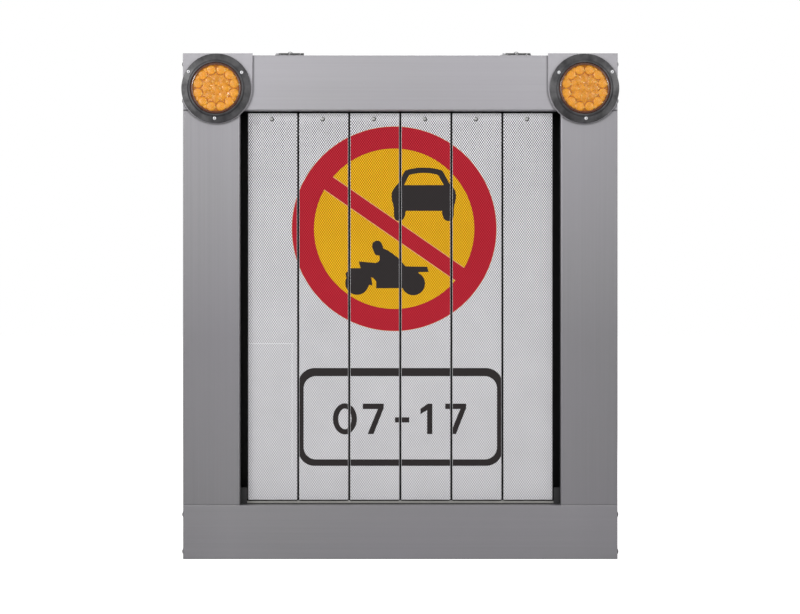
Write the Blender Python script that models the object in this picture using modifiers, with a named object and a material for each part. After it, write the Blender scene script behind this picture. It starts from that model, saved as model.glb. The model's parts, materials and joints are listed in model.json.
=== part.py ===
"""Prism road sign: a cabinet with six turning three-sided prisms and two flashing lamps.

Units are metres and +Z is up. The sign faces -Y and stands on its bottom face, with the origin
at the middle of the footprint.
"""

from math import acos, cos, pi, radians, sin, sqrt, tan

import bmesh
import bpy
from mathutils import Matrix

# General clearances
SEAT_GAP = 0.0003
RUN_CLEARANCE = 0.0001

# Prisms
PRISM_COUNT = 6
PRISM_FACE = 0.096
PRISM_GAP = 0.004
PRISM_CORNER = 0.0012
PRISM_WALL = 0.002
PRISM_LENGTH = 0.7566
SWEEP_CLEARANCE = 0.00726
FRONT_CLEARANCE = 0.003
PRISM_TOP_GAP = 0.0033
PRISM_BOTTOM_GAP = 0.008

# End caps and their journals
CAP_DEPTH = 0.024
CAP_PLATE = 0.005
CAP_SKIRT = 0.003
JOURNAL_RADIUS = 0.008
JOURNAL_TAIL = 0.004
DRIVE_HEX_FLATS = 0.012
DRIVE_HEX_TIP = 0.004

# Front frame
POST_WIDTH = 0.110
TOP_BEAM_HEIGHT = 0.1068
BOTTOM_BEAM_HEIGHT = 0.1053
FRAME_DEPTH = 0.025
FRAME_WALL = 0.0025
FRAME_EDGE_RADIUS = 0.002
FRAME_LIFT = 0.0005

# Cabinet body behind the frame
BODY_WALL = 0.0025
BODY_EDGE_RADIUS = 0.003
BODY_LIP = 0.014
REAR_CLEARANCE = 0.01726
SEAL_THICKNESS = 0.003
SEAL_WIDTH = 0.011

# Decks and bearing strips
DECK_THICKNESS = 0.0037
DECK_FRONT_GAP = 0.0012
DECK_FLANGE = 0.020
STRIP_THICKNESS = 0.0039
STRIP_DEPTH = 0.050
STRIP_END = 0.050
COLLAR_HEIGHT = 0.0025
COLLAR_WALL = 0.004
BOSS_WALL = 0.003
END_BLOCK_WIDTH = 0.012
END_BLOCK_HEIGHT = 0.0307
END_BLOCK_SWEEP_GAP = 0.0006
UPPER_RUN_GAP = 0.0037

# Gear train
PRISM_GEAR_TEETH = 24
IDLER_TEETH = 16
GEAR_WIDTH = 0.012
GEAR_BACKLASH = 0.0004
PRESSURE_ANGLE = radians(20)
GEAR_SEAT = 0.0006
SPIGOT_RADIUS = 0.007
SPIGOT_TIP = 0.003

# Drive
DRIVEN_PRISM = 4
GEARBOX_SIDE = 0.044
GEARBOX_HEIGHT = 0.030
GEARBOX_EDGE = 0.002
MOTOR_RADIUS = 0.018
MOTOR_LENGTH = 0.070
MOTOR_NECK_RADIUS = 0.010
MOTOR_NECK_LENGTH = 0.004
OUTPUT_SHAFT_RADIUS = 0.004
OUTPUT_SHAFT_REACH = 0.012
BRACKET_SHEET = 0.003
BRACKET_LEG_GAP = 0.009
BRACKET_HEAD_GAP = 0.003
BRACKET_FOOT = 0.012
BRACKET_DEPTH = 0.026

# Corner lamps
LAMP_INSET = 0.065
LAMP_PLATE_THICKNESS = 0.003
LAMP_PLATE_MARGIN = 0.003
LAMP_PLATE_RISE = 0.0035
LAMP_FLANGE_RADIUS = 0.0675
LAMP_FLANGE_THICKNESS = 0.005
LAMP_RIM_RADIUS = 0.054
LAMP_RIM_HEIGHT = 0.009
LAMP_FLOOR = 0.0025
LENS_RADIUS = 0.0490
LENS_EDGE = 0.0025
LENS_DOME = 0.0045
LAMP_SPIGOT_RADIUS = 0.030
LAMP_SPIGOT_WALL = 0.003
LAMP_SPIGOT_LENGTH = 0.003
LAMP_WIRE_HOLE_RADIUS = 0.008
BOARD_RADIUS = 0.0465
BOARD_THICKNESS = 0.0014
OPTIC_RADIUS = 0.0088
OPTIC_HEIGHT = 0.0022
OPTIC_TIP_SHARE = 0.75
OUTER_OPTICS = 12
OUTER_OPTIC_CIRCLE = 0.0365
INNER_OPTICS = 6
INNER_OPTIC_CIRCLE = 0.019

# Top hinges
LEFT_HINGE_X = -0.216
RIGHT_HINGE_X = 0.2273
HINGE_BARREL_RADIUS = 0.0036
HINGE_PIN_RADIUS = 0.0015
HINGE_LEAF = 0.0015
HINGE_LEAF_DEPTH = 0.018
HINGE_KNUCKLES = (0.006, 0.020, 0.022, 0.007)
HINGE_KNUCKLE_GAP = 0.0004
EYE_RADIUS = 0.0055
EYE_WIRE_RADIUS = 0.0006
EYE_BEND_HEIGHT = 0.0042

# Mounting rails, control unit and cable gland
RAIL_LENGTH = 0.700
RAIL_HEIGHT = 0.040
RAIL_DEPTH = 0.025
RAIL_WALL = 0.003
RAIL_SLOT = 0.014
LOWER_RAIL_HEIGHT = 0.230
UPPER_RAIL_HEIGHT = 0.750
CONTROL_WIDTH = 0.200
CONTROL_DEPTH = 0.090
CONTROL_HEIGHT = 0.055
CONTROL_LID = 0.012
CONTROL_LID_STEP = 0.0015
CONTROL_EDGE = 0.003
GLAND_OFFSET = 0.300
GLAND_HEIGHT = 0.060
GLAND_THREAD_RADIUS = 0.010
GLAND_HEX_FLATS = 0.024
GLAND_HEX_LENGTH = 0.007
GLAND_DOME_LENGTH = 0.010
GLAND_NOSE_RADIUS = 0.008
GLAND_BORE_RADIUS = 0.005
GLAND_THREAD_LENGTH = 0.009

# Facets of round shapes
JOURNAL_FACETS = 16
SPIGOT_FACETS = 12
LAMP_FACETS = 32
SMALL_FACETS = 12
OPTIC_FACETS = 8
EYE_STEPS = 8
LENS_STEPS = 4
CORNER_STEPS = 3

# Prism section worked out from its face
CORNER_SIDE_LOSS = (sqrt(3) - 1) * PRISM_CORNER
PRISM_SIDE = PRISM_FACE + 2 * CORNER_SIDE_LOSS
PRISM_INRADIUS = PRISM_SIDE / (2 * sqrt(3))
PRISM_REACH = PRISM_SIDE / sqrt(3) - PRISM_CORNER
PRISM_PITCH = PRISM_FACE + PRISM_GAP

# Outside sizes
OPENING_WIDTH = (PRISM_COUNT - 1) * PRISM_PITCH + 2 * (PRISM_REACH + SWEEP_CLEARANCE)
OPENING_HEIGHT = PRISM_LENGTH + PRISM_TOP_GAP + PRISM_BOTTOM_GAP
CABINET_WIDTH = OPENING_WIDTH + 2 * POST_WIDTH
CABINET_HEIGHT = BOTTOM_BEAM_HEIGHT + OPENING_HEIGHT + TOP_BEAM_HEIGHT

# Gear train sizes
GEAR_CENTRES = PRISM_PITCH / 2
GEAR_MODULE = 2 * GEAR_CENTRES / (PRISM_GEAR_TEETH + IDLER_TEETH)
IDLER_PITCH_RADIUS = GEAR_MODULE * IDLER_TEETH / 2

# Places along the depth, counted back from the front face of the frame
AXIS_DEPTH = FRONT_CLEARANCE + PRISM_REACH
BODY_FRONT_DEPTH = FRAME_DEPTH + SEAL_THICKNESS + 2 * SEAT_GAP
DRIVE_DEPTH = AXIS_DEPTH + GEAR_CENTRES
CABINET_DEPTH = DRIVE_DEPTH + GEARBOX_SIDE / 2 + REAR_CLEARANCE + BODY_WALL
LAMP_PROUD = (
    2 * SEAT_GAP + LAMP_PLATE_THICKNESS + LAMP_RIM_HEIGHT + SEAT_GAP + LENS_DOME
)
REAR_PROUD = SEAT_GAP + RAIL_DEPTH
FRONT_Y = LAMP_PROUD - (LAMP_PROUD + CABINET_DEPTH + REAR_PROUD) / 2
AXIS_Y = FRONT_Y + AXIS_DEPTH
DRIVE_Y = FRONT_Y + DRIVE_DEPTH
BODY_FRONT_Y = FRONT_Y + BODY_FRONT_DEPTH
REAR_Y = FRONT_Y + CABINET_DEPTH
PLATE_BACK_Y = FRONT_Y - SEAT_GAP
FLANGE_BACK_Y = PLATE_BACK_Y - LAMP_PLATE_THICKNESS - SEAT_GAP

# Places along the height
PRISM_BOTTOM = BOTTOM_BEAM_HEIGHT + PRISM_BOTTOM_GAP
PRISM_TOP = PRISM_BOTTOM + PRISM_LENGTH
LOWER_STRIP_TOP = PRISM_BOTTOM - SEAT_GAP - COLLAR_HEIGHT
LOWER_STRIP_BOTTOM = LOWER_STRIP_TOP - STRIP_THICKNESS
LOWER_DECK_TOP = LOWER_STRIP_BOTTOM - SEAT_GAP
LOWER_DECK_BOTTOM = LOWER_DECK_TOP - DECK_THICKNESS
UPPER_DECK_BOTTOM = PRISM_TOP + UPPER_RUN_GAP
UPPER_DECK_TOP = UPPER_DECK_BOTTOM + DECK_THICKNESS
UPPER_STRIP_BOTTOM = UPPER_DECK_TOP + SEAT_GAP
UPPER_STRIP_TOP = UPPER_STRIP_BOTTOM + STRIP_THICKNESS
GEAR_BOTTOM = UPPER_STRIP_TOP + GEAR_SEAT
GEAR_TOP = GEAR_BOTTOM + GEAR_WIDTH
BRACKET_HEAD_BOTTOM = GEAR_TOP + BRACKET_HEAD_GAP
GEARBOX_BOTTOM = BRACKET_HEAD_BOTTOM + BRACKET_SHEET + SEAT_GAP
LAMP_Z = CABINET_HEIGHT - LAMP_INSET
LAMP_X = CABINET_WIDTH / 2 - LAMP_INSET
HINGE_Y = (FRONT_Y + FRAME_DEPTH + BODY_FRONT_Y) / 2
HINGE_Z = CABINET_HEIGHT + SEAT_GAP + HINGE_BARREL_RADIUS

# Places across the width
PRISM_X = [(i - (PRISM_COUNT - 1) / 2) * PRISM_PITCH for i in range(PRISM_COUNT)]
IDLER_X = [(a + b) / 2 for a, b in zip(PRISM_X, PRISM_X[1:])]
DRIVE_X = PRISM_X[DRIVEN_PRISM - 1]


def start_scene():
    """Empty the scene and make one collection for the parts and one for the cutters."""
    for old in list(bpy.data.objects):
        bpy.data.objects.remove(old)
    found = {}
    for title in ("prism_road_sign", "cutters"):
        found[title] = bpy.data.collections.new(title)
        bpy.context.scene.collection.children.link(found[title])
    return found["prism_road_sign"], found["cutters"]


PARTS, CUTTERS = start_scene()


def finish_of(name, colour, roughness, metallic=0.0):
    """A painted, metal or plastic finish."""
    material = bpy.data.materials.new(name)
    material.use_nodes = True
    shader = material.node_tree.nodes["Principled BSDF"]
    shader.inputs["Base Color"].default_value = (*colour, 1.0)
    shader.inputs["Roughness"].default_value = roughness
    shader.inputs["Metallic"].default_value = metallic
    return material


GREY_PAINT = finish_of("grey_paint", (0.38, 0.38, 0.39), 0.4, 0.6)
BODY_PAINT = finish_of("body_paint", (0.30, 0.30, 0.31), 0.5, 0.4)
DARK_COAT = finish_of("dark_coat", (0.02, 0.02, 0.022), 0.6)
BARE_ALUMINIUM = finish_of("bare_aluminium", (0.62, 0.62, 0.63), 0.35, 0.9)
STEEL = finish_of("steel", (0.45, 0.45, 0.46), 0.3, 1.0)
PALE_ACETAL = finish_of("pale_acetal", (0.62, 0.62, 0.60), 0.45)
BLACK_NYLON = finish_of("black_nylon", (0.025, 0.025, 0.027), 0.5)
LAMP_GREY = finish_of("lamp_grey", (0.075, 0.075, 0.08), 0.35)
AMBER = finish_of("amber", (0.85, 0.33, 0.04), 0.15)
BOARD_AMBER = finish_of("board_amber", (0.80, 0.42, 0.08), 0.4)
MOTOR_STEEL = finish_of("motor_steel", (0.25, 0.25, 0.26), 0.4, 0.8)
SEAL_RUBBER = finish_of("seal_rubber", (0.015, 0.015, 0.015), 0.8)
CONTROL_GREY = finish_of("control_grey", (0.33, 0.34, 0.35), 0.5)


def add_object(name, mesh, material, place=(0, 0, 0), turn=(0, 0, 0), parent=None):
    """Put a mesh in the scene as one named piece."""
    piece = bpy.data.objects.new(name, mesh)
    if not mesh.materials:
        mesh.materials.append(material)
    piece.location = place
    piece.rotation_euler = turn
    piece.parent = parent
    PARTS.objects.link(piece)
    return piece


def add_cutter(name, mesh, place=(0, 0, 0), turn=(0, 0, 0)):
    """Put a mesh in the scene as a cutter or as a shape that another piece takes in."""
    cutter = bpy.data.objects.new(name, mesh)
    cutter.location = place
    cutter.rotation_euler = turn
    cutter.hide_render = True
    cutter.display_type = "WIRE"
    CUTTERS.objects.link(cutter)
    return cutter


def combine(piece, other, operation):
    """Cut the other shape out of a piece, or join it to the piece."""
    change = piece.modifiers.new(f"{operation.lower()}_{other.name}", "BOOLEAN")
    change.object = other
    change.operation = operation
    change.solver = "EXACT"


def made_mesh(piece):
    """The piece's evaluated mesh, in the piece's own coordinates."""
    bpy.context.view_layer.update()
    evaluated = piece.evaluated_get(bpy.context.evaluated_depsgraph_get())
    return bpy.data.meshes.new_from_object(evaluated)


def tidy_mesh(mesh, shift=0.0):
    """Weld loose caps, turn the faces outwards and move the mesh up."""
    work = bmesh.new()
    work.from_mesh(mesh)
    bmesh.ops.remove_doubles(work, verts=work.verts, dist=1e-6)
    bmesh.ops.recalc_face_normals(work, faces=work.faces)
    bmesh.ops.translate(work, verts=work.verts, vec=(0, 0, shift))
    work.to_mesh(mesh)
    work.free()
    return mesh


def flat_mesh(name, outlines, thickness):
    """A flat shape, with its holes, from z = 0 up to its thickness."""
    curve = bpy.data.curves.new(name, "CURVE")
    curve.dimensions = "2D"
    curve.fill_mode = "BOTH"
    curve.extrude = thickness / 2
    for outline in outlines:
        spline = curve.splines.new("POLY")
        spline.points.add(len(outline) - 1)
        for point, (x, y) in zip(spline.points, outline):
            point.co = (x, y, 0, 1)
        spline.use_cyclic_u = True
    guide = bpy.data.objects.new(name, curve)
    PARTS.objects.link(guide)
    mesh = tidy_mesh(made_mesh(guide), thickness / 2)
    bpy.data.objects.remove(guide)
    mesh.name = name
    return mesh


def turned_mesh(name, profile, facets, ring=False):
    """A turned shape: the profile's (radius, height) points run round the Z axis."""
    mesh = bpy.data.meshes.new(name)
    edges = [(i, i + 1) for i in range(len(profile) - 1)]
    if ring:
        edges.append((len(profile) - 1, 0))
    mesh.from_pydata([(radius, 0, height) for radius, height in profile], edges, [])
    guide = bpy.data.objects.new(name, mesh)
    PARTS.objects.link(guide)
    screw = guide.modifiers.new("turn", "SCREW")
    screw.steps = facets
    screw.render_steps = facets
    screw.use_merge_vertices = True
    screw.merge_threshold = 1e-5
    made = tidy_mesh(made_mesh(guide))
    bpy.data.objects.remove(guide)
    made.name = name
    made.shade_smooth()
    made.set_sharp_from_angle(angle=radians(35))
    return made


def box_mesh(name, low, high, edge=0.0):
    """A block between two corners, with rounded edges where an edge radius is given."""
    size = [b - a for a, b in zip(low, high)]
    middle = [(a + b) / 2 for a, b in zip(low, high)]
    work = bmesh.new()
    bmesh.ops.create_cube(work, size=1.0)
    bmesh.ops.scale(work, verts=work.verts, vec=size)
    bmesh.ops.translate(work, verts=work.verts, vec=middle)
    if edge > 0:
        bmesh.ops.bevel(
            work, geom=work.edges[:], offset=edge, affect="EDGES", segments=2, profile=0.5
        )
    mesh = bpy.data.meshes.new(name)
    work.to_mesh(mesh)
    work.free()
    return mesh


def gathered_mesh(name, placed):
    """Meshes at their places, as one mesh of separate shapes."""
    work = bmesh.new()
    for mesh, place in placed:
        before = len(work.verts)
        work.from_mesh(mesh)
        bmesh.ops.translate(work, verts=list(work.verts)[before:], vec=place)
    copies = bpy.data.meshes.new(name)
    work.to_mesh(copies)
    work.free()
    return copies


def polygon(sides, radius, start=0.0):
    """The corners of a regular polygon, from a start angle."""
    step = 2 * pi / sides
    return [
        (radius * cos(start + i * step), radius * sin(start + i * step))
        for i in range(sides)
    ]


def circle_at(x, y, radius, facets):
    """A circle's outline round a point."""
    return [(x + a, y + b) for a, b in polygon(facets, radius)]


def rectangle(low_x, low_y, high_x, high_y):
    """A rectangle's outline."""
    return [(low_x, low_y), (high_x, low_y), (high_x, high_y), (low_x, high_y)]


def rounded_rectangle(low_x, low_y, high_x, high_y, corner):
    """A rectangle's outline with rounded corners."""
    corners = (
        (high_x - corner, high_y - corner),
        (low_x + corner, high_y - corner),
        (low_x + corner, low_y + corner),
        (high_x - corner, low_y + corner),
    )
    outline = []
    for quarter, (x, y) in enumerate(corners):
        for step in range(CORNER_STEPS + 1):
            angle = pi / 2 * (quarter + step / CORNER_STEPS)
            outline.append((x + corner * cos(angle), y + corner * sin(angle)))
    return outline


def bore_radius(shaft_radius, facets):
    """The corner radius of a faceted bore in which a round shaft runs free."""
    return (shaft_radius + RUN_CLEARANCE) / cos(pi / facets)


def triangle_outline(inradius, corner):
    """A rounded equilateral triangle with one flat side towards -Y."""
    outline = []
    centre_distance = 2 * (inradius - corner)
    for vertex in range(3):
        facing = radians(90 + 120 * vertex)
        x = centre_distance * cos(facing)
        y = centre_distance * sin(facing)
        for step in range(CORNER_STEPS + 1):
            angle = facing + radians(120 * (step / CORNER_STEPS - 0.5))
            outline.append((x + corner * cos(angle), y + corner * sin(angle)))
    return outline


def hexagon(flats):
    """A hexagon of a given size across flats."""
    return polygon(6, flats / sqrt(3))


def involute(turned_angle):
    """How far an involute has run round its base circle at a given pressure angle."""
    return tan(turned_angle) - turned_angle


def gear_outline(teeth, gap_first):
    """A spur gear's outline with involute teeth. One tooth, or one gap, is on the +X axis."""
    pitch_radius = GEAR_MODULE * teeth / 2
    base_radius = pitch_radius * cos(PRESSURE_ANGLE)
    root_radius = pitch_radius - 1.25 * GEAR_MODULE
    tip_radius = pitch_radius + GEAR_MODULE
    pitch_half = (pi * GEAR_MODULE / 4 - GEAR_BACKLASH / 2) / pitch_radius
    base_half = pitch_half + involute(PRESSURE_ANGLE)
    tip_half = base_half - involute(acos(base_radius / tip_radius))
    step = 2 * pi / teeth
    start = step / 2 if gap_first else 0.0
    outline = []
    for tooth in range(teeth):
        middle = start + tooth * step
        for radius, half in (
            (root_radius, -base_half),
            (base_radius, -base_half),
            (tip_radius, -tip_half),
            (tip_radius, tip_half),
            (base_radius, base_half),
            (root_radius, base_half),
        ):
            angle = middle + half
            outline.append((radius * cos(angle), radius * sin(angle)))
    return outline


def axis_empty(name, x, y):
    """An empty on a turning axis, to which the turning pieces are parented."""
    empty = bpy.data.objects.new(name, None)
    empty.location = (x, y, 0)
    PARTS.objects.link(empty)
    return empty


def make_cap(name, spindle, spindle_place):
    """Join a plug and its spindle into one mesh. The plug's outer face lies at z = 0."""
    inradius = PRISM_INRADIUS - PRISM_WALL - SEAT_GAP
    corner = SEAT_GAP
    plug = flat_mesh(f"{name}_plug", [triangle_outline(inradius, corner)], CAP_DEPTH)
    pocket_outline = triangle_outline(inradius - CAP_SKIRT, corner)
    pocket = flat_mesh(f"{name}_pocket", [pocket_outline], CAP_DEPTH)
    body = bpy.data.objects.new(f"{name}_body", plug)
    body.location = (0, 0, -CAP_DEPTH)
    PARTS.objects.link(body)
    hollow = add_cutter(f"{name}_hollow", pocket, (0, 0, -CAP_DEPTH - CAP_PLATE))
    stem = add_cutter(f"{name}_spindle", spindle, (0, 0, spindle_place))
    combine(body, hollow, "DIFFERENCE")
    combine(body, stem, "UNION")
    mesh = made_mesh(body)
    mesh.transform(Matrix.Translation((0, 0, -CAP_DEPTH)))
    for used in (body, hollow, stem):
        bpy.data.objects.remove(used)
    mesh.name = name
    return mesh


def upper_spindle():
    """The upper journal with the hexagon that drives it, from inside the plug upwards."""
    journal_length = GEAR_BOTTOM - SEAT_GAP - PRISM_TOP
    hex_length = SEAT_GAP + GEAR_WIDTH + DRIVE_HEX_TIP
    shoulder = CAP_PLATE / 2
    profile = [
        (0, journal_length),
        (JOURNAL_RADIUS, journal_length),
        (JOURNAL_RADIUS, -shoulder),
        (0, -shoulder),
    ]
    journal = turned_mesh("upper_journal", profile, JOURNAL_FACETS)
    drive = flat_mesh("drive_hex", [hexagon(DRIVE_HEX_FLATS)], hex_length + shoulder)
    stem = bpy.data.objects.new("upper_stem", journal)
    PARTS.objects.link(stem)
    end = add_cutter("drive_end", drive, (0, 0, journal_length - shoulder))
    combine(stem, end, "UNION")
    mesh = made_mesh(stem)
    for used in (stem, end):
        bpy.data.objects.remove(used)
    return mesh


def lower_spindle():
    """The lower journal, drawn upwards like the upper one and turned over with its cap."""
    reach = PRISM_BOTTOM - LOWER_DECK_BOTTOM + JOURNAL_TAIL
    shoulder = CAP_PLATE / 2
    chamfer = JOURNAL_RADIUS / 8
    profile = [
        (0, reach),
        (JOURNAL_RADIUS - chamfer, reach),
        (JOURNAL_RADIUS, reach - chamfer),
        (JOURNAL_RADIUS, -shoulder),
        (0, -shoulder),
    ]
    return turned_mesh("lower_journal", profile, JOURNAL_FACETS)


def build_prisms():
    """The six prisms with their caps and gears, each set parented to its turning axis."""
    corner_inside = max(PRISM_CORNER - PRISM_WALL, SEAT_GAP)
    section = [
        triangle_outline(PRISM_INRADIUS, PRISM_CORNER),
        triangle_outline(PRISM_INRADIUS - PRISM_WALL, corner_inside),
    ]
    profile = flat_mesh("prism_profile", section, PRISM_LENGTH)
    upper_cap = make_cap("upper_cap", upper_spindle(), 0)
    lower_cap = make_cap("lower_cap", lower_spindle(), 0)
    lower_cap.transform(Matrix.Diagonal((1, 1, -1, 1)))
    lower_cap.flip_normals()
    bore = hexagon(DRIVE_HEX_FLATS + 2 * RUN_CLEARANCE)
    gear = flat_mesh("prism_gear", [gear_outline(PRISM_GEAR_TEETH, False), bore], GEAR_WIDTH)
    for number, x in enumerate(PRISM_X, start=1):
        axis = axis_empty(f"prism_{number}_axis", x, AXIS_Y)
        label = f"prism_{number}"
        add_object(f"{label}_profile", profile, BARE_ALUMINIUM, (0, 0, PRISM_BOTTOM), parent=axis)
        add_object(f"{label}_upper_cap", upper_cap, BLACK_NYLON, (0, 0, PRISM_TOP), parent=axis)
        add_object(f"{label}_lower_cap", lower_cap, BLACK_NYLON, (0, 0, PRISM_BOTTOM), parent=axis)
        add_object(f"{label}_gear", gear, PALE_ACETAL, (0, 0, GEAR_BOTTOM), parent=axis)


def build_idlers():
    """The idler gears between the prism gears, each with a gap towards both neighbours."""
    bore = polygon(SPIGOT_FACETS, bore_radius(SPIGOT_RADIUS, SPIGOT_FACETS))
    gear = flat_mesh("idler_gear", [gear_outline(IDLER_TEETH, True), bore], GEAR_WIDTH)
    for number, x in enumerate(IDLER_X, start=1):
        axis = axis_empty(f"idler_{number}_axis", x, AXIS_Y)
        add_object(f"idler_gear_{number}", gear, PALE_ACETAL, (0, 0, GEAR_BOTTOM), parent=axis)


def build_decks():
    """The two plates across the cabinet body that carry the bearing strips."""
    inside = CABINET_WIDTH / 2 - BODY_WALL - SEAT_GAP
    front = BODY_FRONT_Y + BODY_WALL + DECK_FRONT_GAP
    back = REAR_Y - BODY_WALL - SEAT_GAP
    boss = bore_radius(JOURNAL_RADIUS, JOURNAL_FACETS) + BOSS_WALL
    hole = boss / cos(pi / JOURNAL_FACETS) + SEAT_GAP
    outlines = [rectangle(-inside, front, inside, back)]
    outlines += [circle_at(x, AXIS_Y, hole, JOURNAL_FACETS) for x in PRISM_X]
    heights = {
        "lower": (LOWER_DECK_BOTTOM, LOWER_DECK_BOTTOM - DECK_FLANGE, LOWER_DECK_TOP),
        "upper": (UPPER_DECK_BOTTOM, UPPER_DECK_BOTTOM, UPPER_DECK_TOP + DECK_FLANGE),
    }
    decks = {}
    for level, (bottom, flange_low, flange_high) in heights.items():
        plate = flat_mesh(f"{level}_deck", outlines, DECK_THICKNESS)
        deck = add_object(f"{level}_bearing_deck", plate, DARK_COAT, (0, 0, bottom))
        for side, hand in (("left", -1), ("right", 1)):
            edges = sorted((hand * inside, hand * (inside - DECK_THICKNESS)))
            flange = box_mesh(
                "deck_flange", (edges[0], front, flange_low), (edges[1], back, flange_high)
            )
            combine(deck, add_cutter(f"{level}_{side}_flange", flange), "UNION")
        decks[level] = deck
    block_x = PRISM_X[-1] + STRIP_END + SEAT_GAP
    swept = PRISM_REACH + END_BLOCK_SWEEP_GAP
    block_back = AXIS_Y - sqrt(swept**2 - (STRIP_END + SEAT_GAP) ** 2)
    for side, hand in (("left", -1), ("right", 1)):
        edges = sorted((hand * block_x, hand * (block_x + END_BLOCK_WIDTH)))
        block = box_mesh(
            "end_block",
            (edges[0], front, LOWER_DECK_BOTTOM + DECK_THICKNESS / 2),
            (edges[1], block_back, LOWER_DECK_TOP + END_BLOCK_HEIGHT),
        )
        combine(decks["lower"], add_cutter(f"{side}_end_block", block), "UNION")


def strip_piece(name, bottom, boss_bottom, collar_height, carries_idlers):
    """A moulded strip with a bearing for each prism, and spigots where it carries idlers."""
    end = PRISM_X[-1] + STRIP_END
    bore = bore_radius(JOURNAL_RADIUS, JOURNAL_FACETS)
    front = BODY_FRONT_Y + BODY_WALL + DECK_FRONT_GAP
    back = AXIS_Y + STRIP_DEPTH / 2
    root = bore + BOSS_WALL / 2
    outlines = [rectangle(-end, front, end, back)]
    outlines += [circle_at(x, AXIS_Y, root, JOURNAL_FACETS) for x in PRISM_X]
    plate = flat_mesh(f"{name}_plate", outlines, STRIP_THICKNESS)
    strip = add_object(name, plate, PALE_ACETAL, (0, 0, bottom))
    top = bottom + STRIP_THICKNESS
    middle = bottom + STRIP_THICKNESS / 2
    bearing_profile = [
        (bore, top + collar_height),
        (bore + COLLAR_WALL, top + collar_height),
        (bore + COLLAR_WALL, middle),
        (bore + BOSS_WALL, middle),
        (bore + BOSS_WALL, boss_bottom),
        (bore, boss_bottom),
    ]
    bearing = turned_mesh(f"{name}_bearing", bearing_profile, JOURNAL_FACETS, ring=True)
    placed = [(bearing, (x, AXIS_Y, 0)) for x in PRISM_X]
    if carries_idlers:
        spigot_profile = [
            (0, GEAR_TOP + SPIGOT_TIP),
            (SPIGOT_RADIUS, GEAR_TOP + SPIGOT_TIP),
            (SPIGOT_RADIUS, middle),
            (0, middle),
        ]
        spigot = turned_mesh(f"{name}_spigot", spigot_profile, SPIGOT_FACETS)
        placed += [(spigot, (x, AXIS_Y, 0)) for x in IDLER_X]
    bearings = gathered_mesh(f"{name}_bearings", placed)
    combine(strip, add_cutter(f"{name}_bearings", bearings), "UNION")


def build_strips():
    """The lower strip carries the prisms' weight; the upper one also carries the idlers."""
    strip_piece(
        "lower_bearing_strip",
        LOWER_STRIP_BOTTOM,
        LOWER_DECK_BOTTOM,
        COLLAR_HEIGHT,
        carries_idlers=False,
    )
    strip_piece(
        "upper_bearing_strip",
        UPPER_STRIP_BOTTOM,
        UPPER_DECK_BOTTOM,
        GEAR_SEAT - SEAT_GAP,
        carries_idlers=True,
    )


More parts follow.
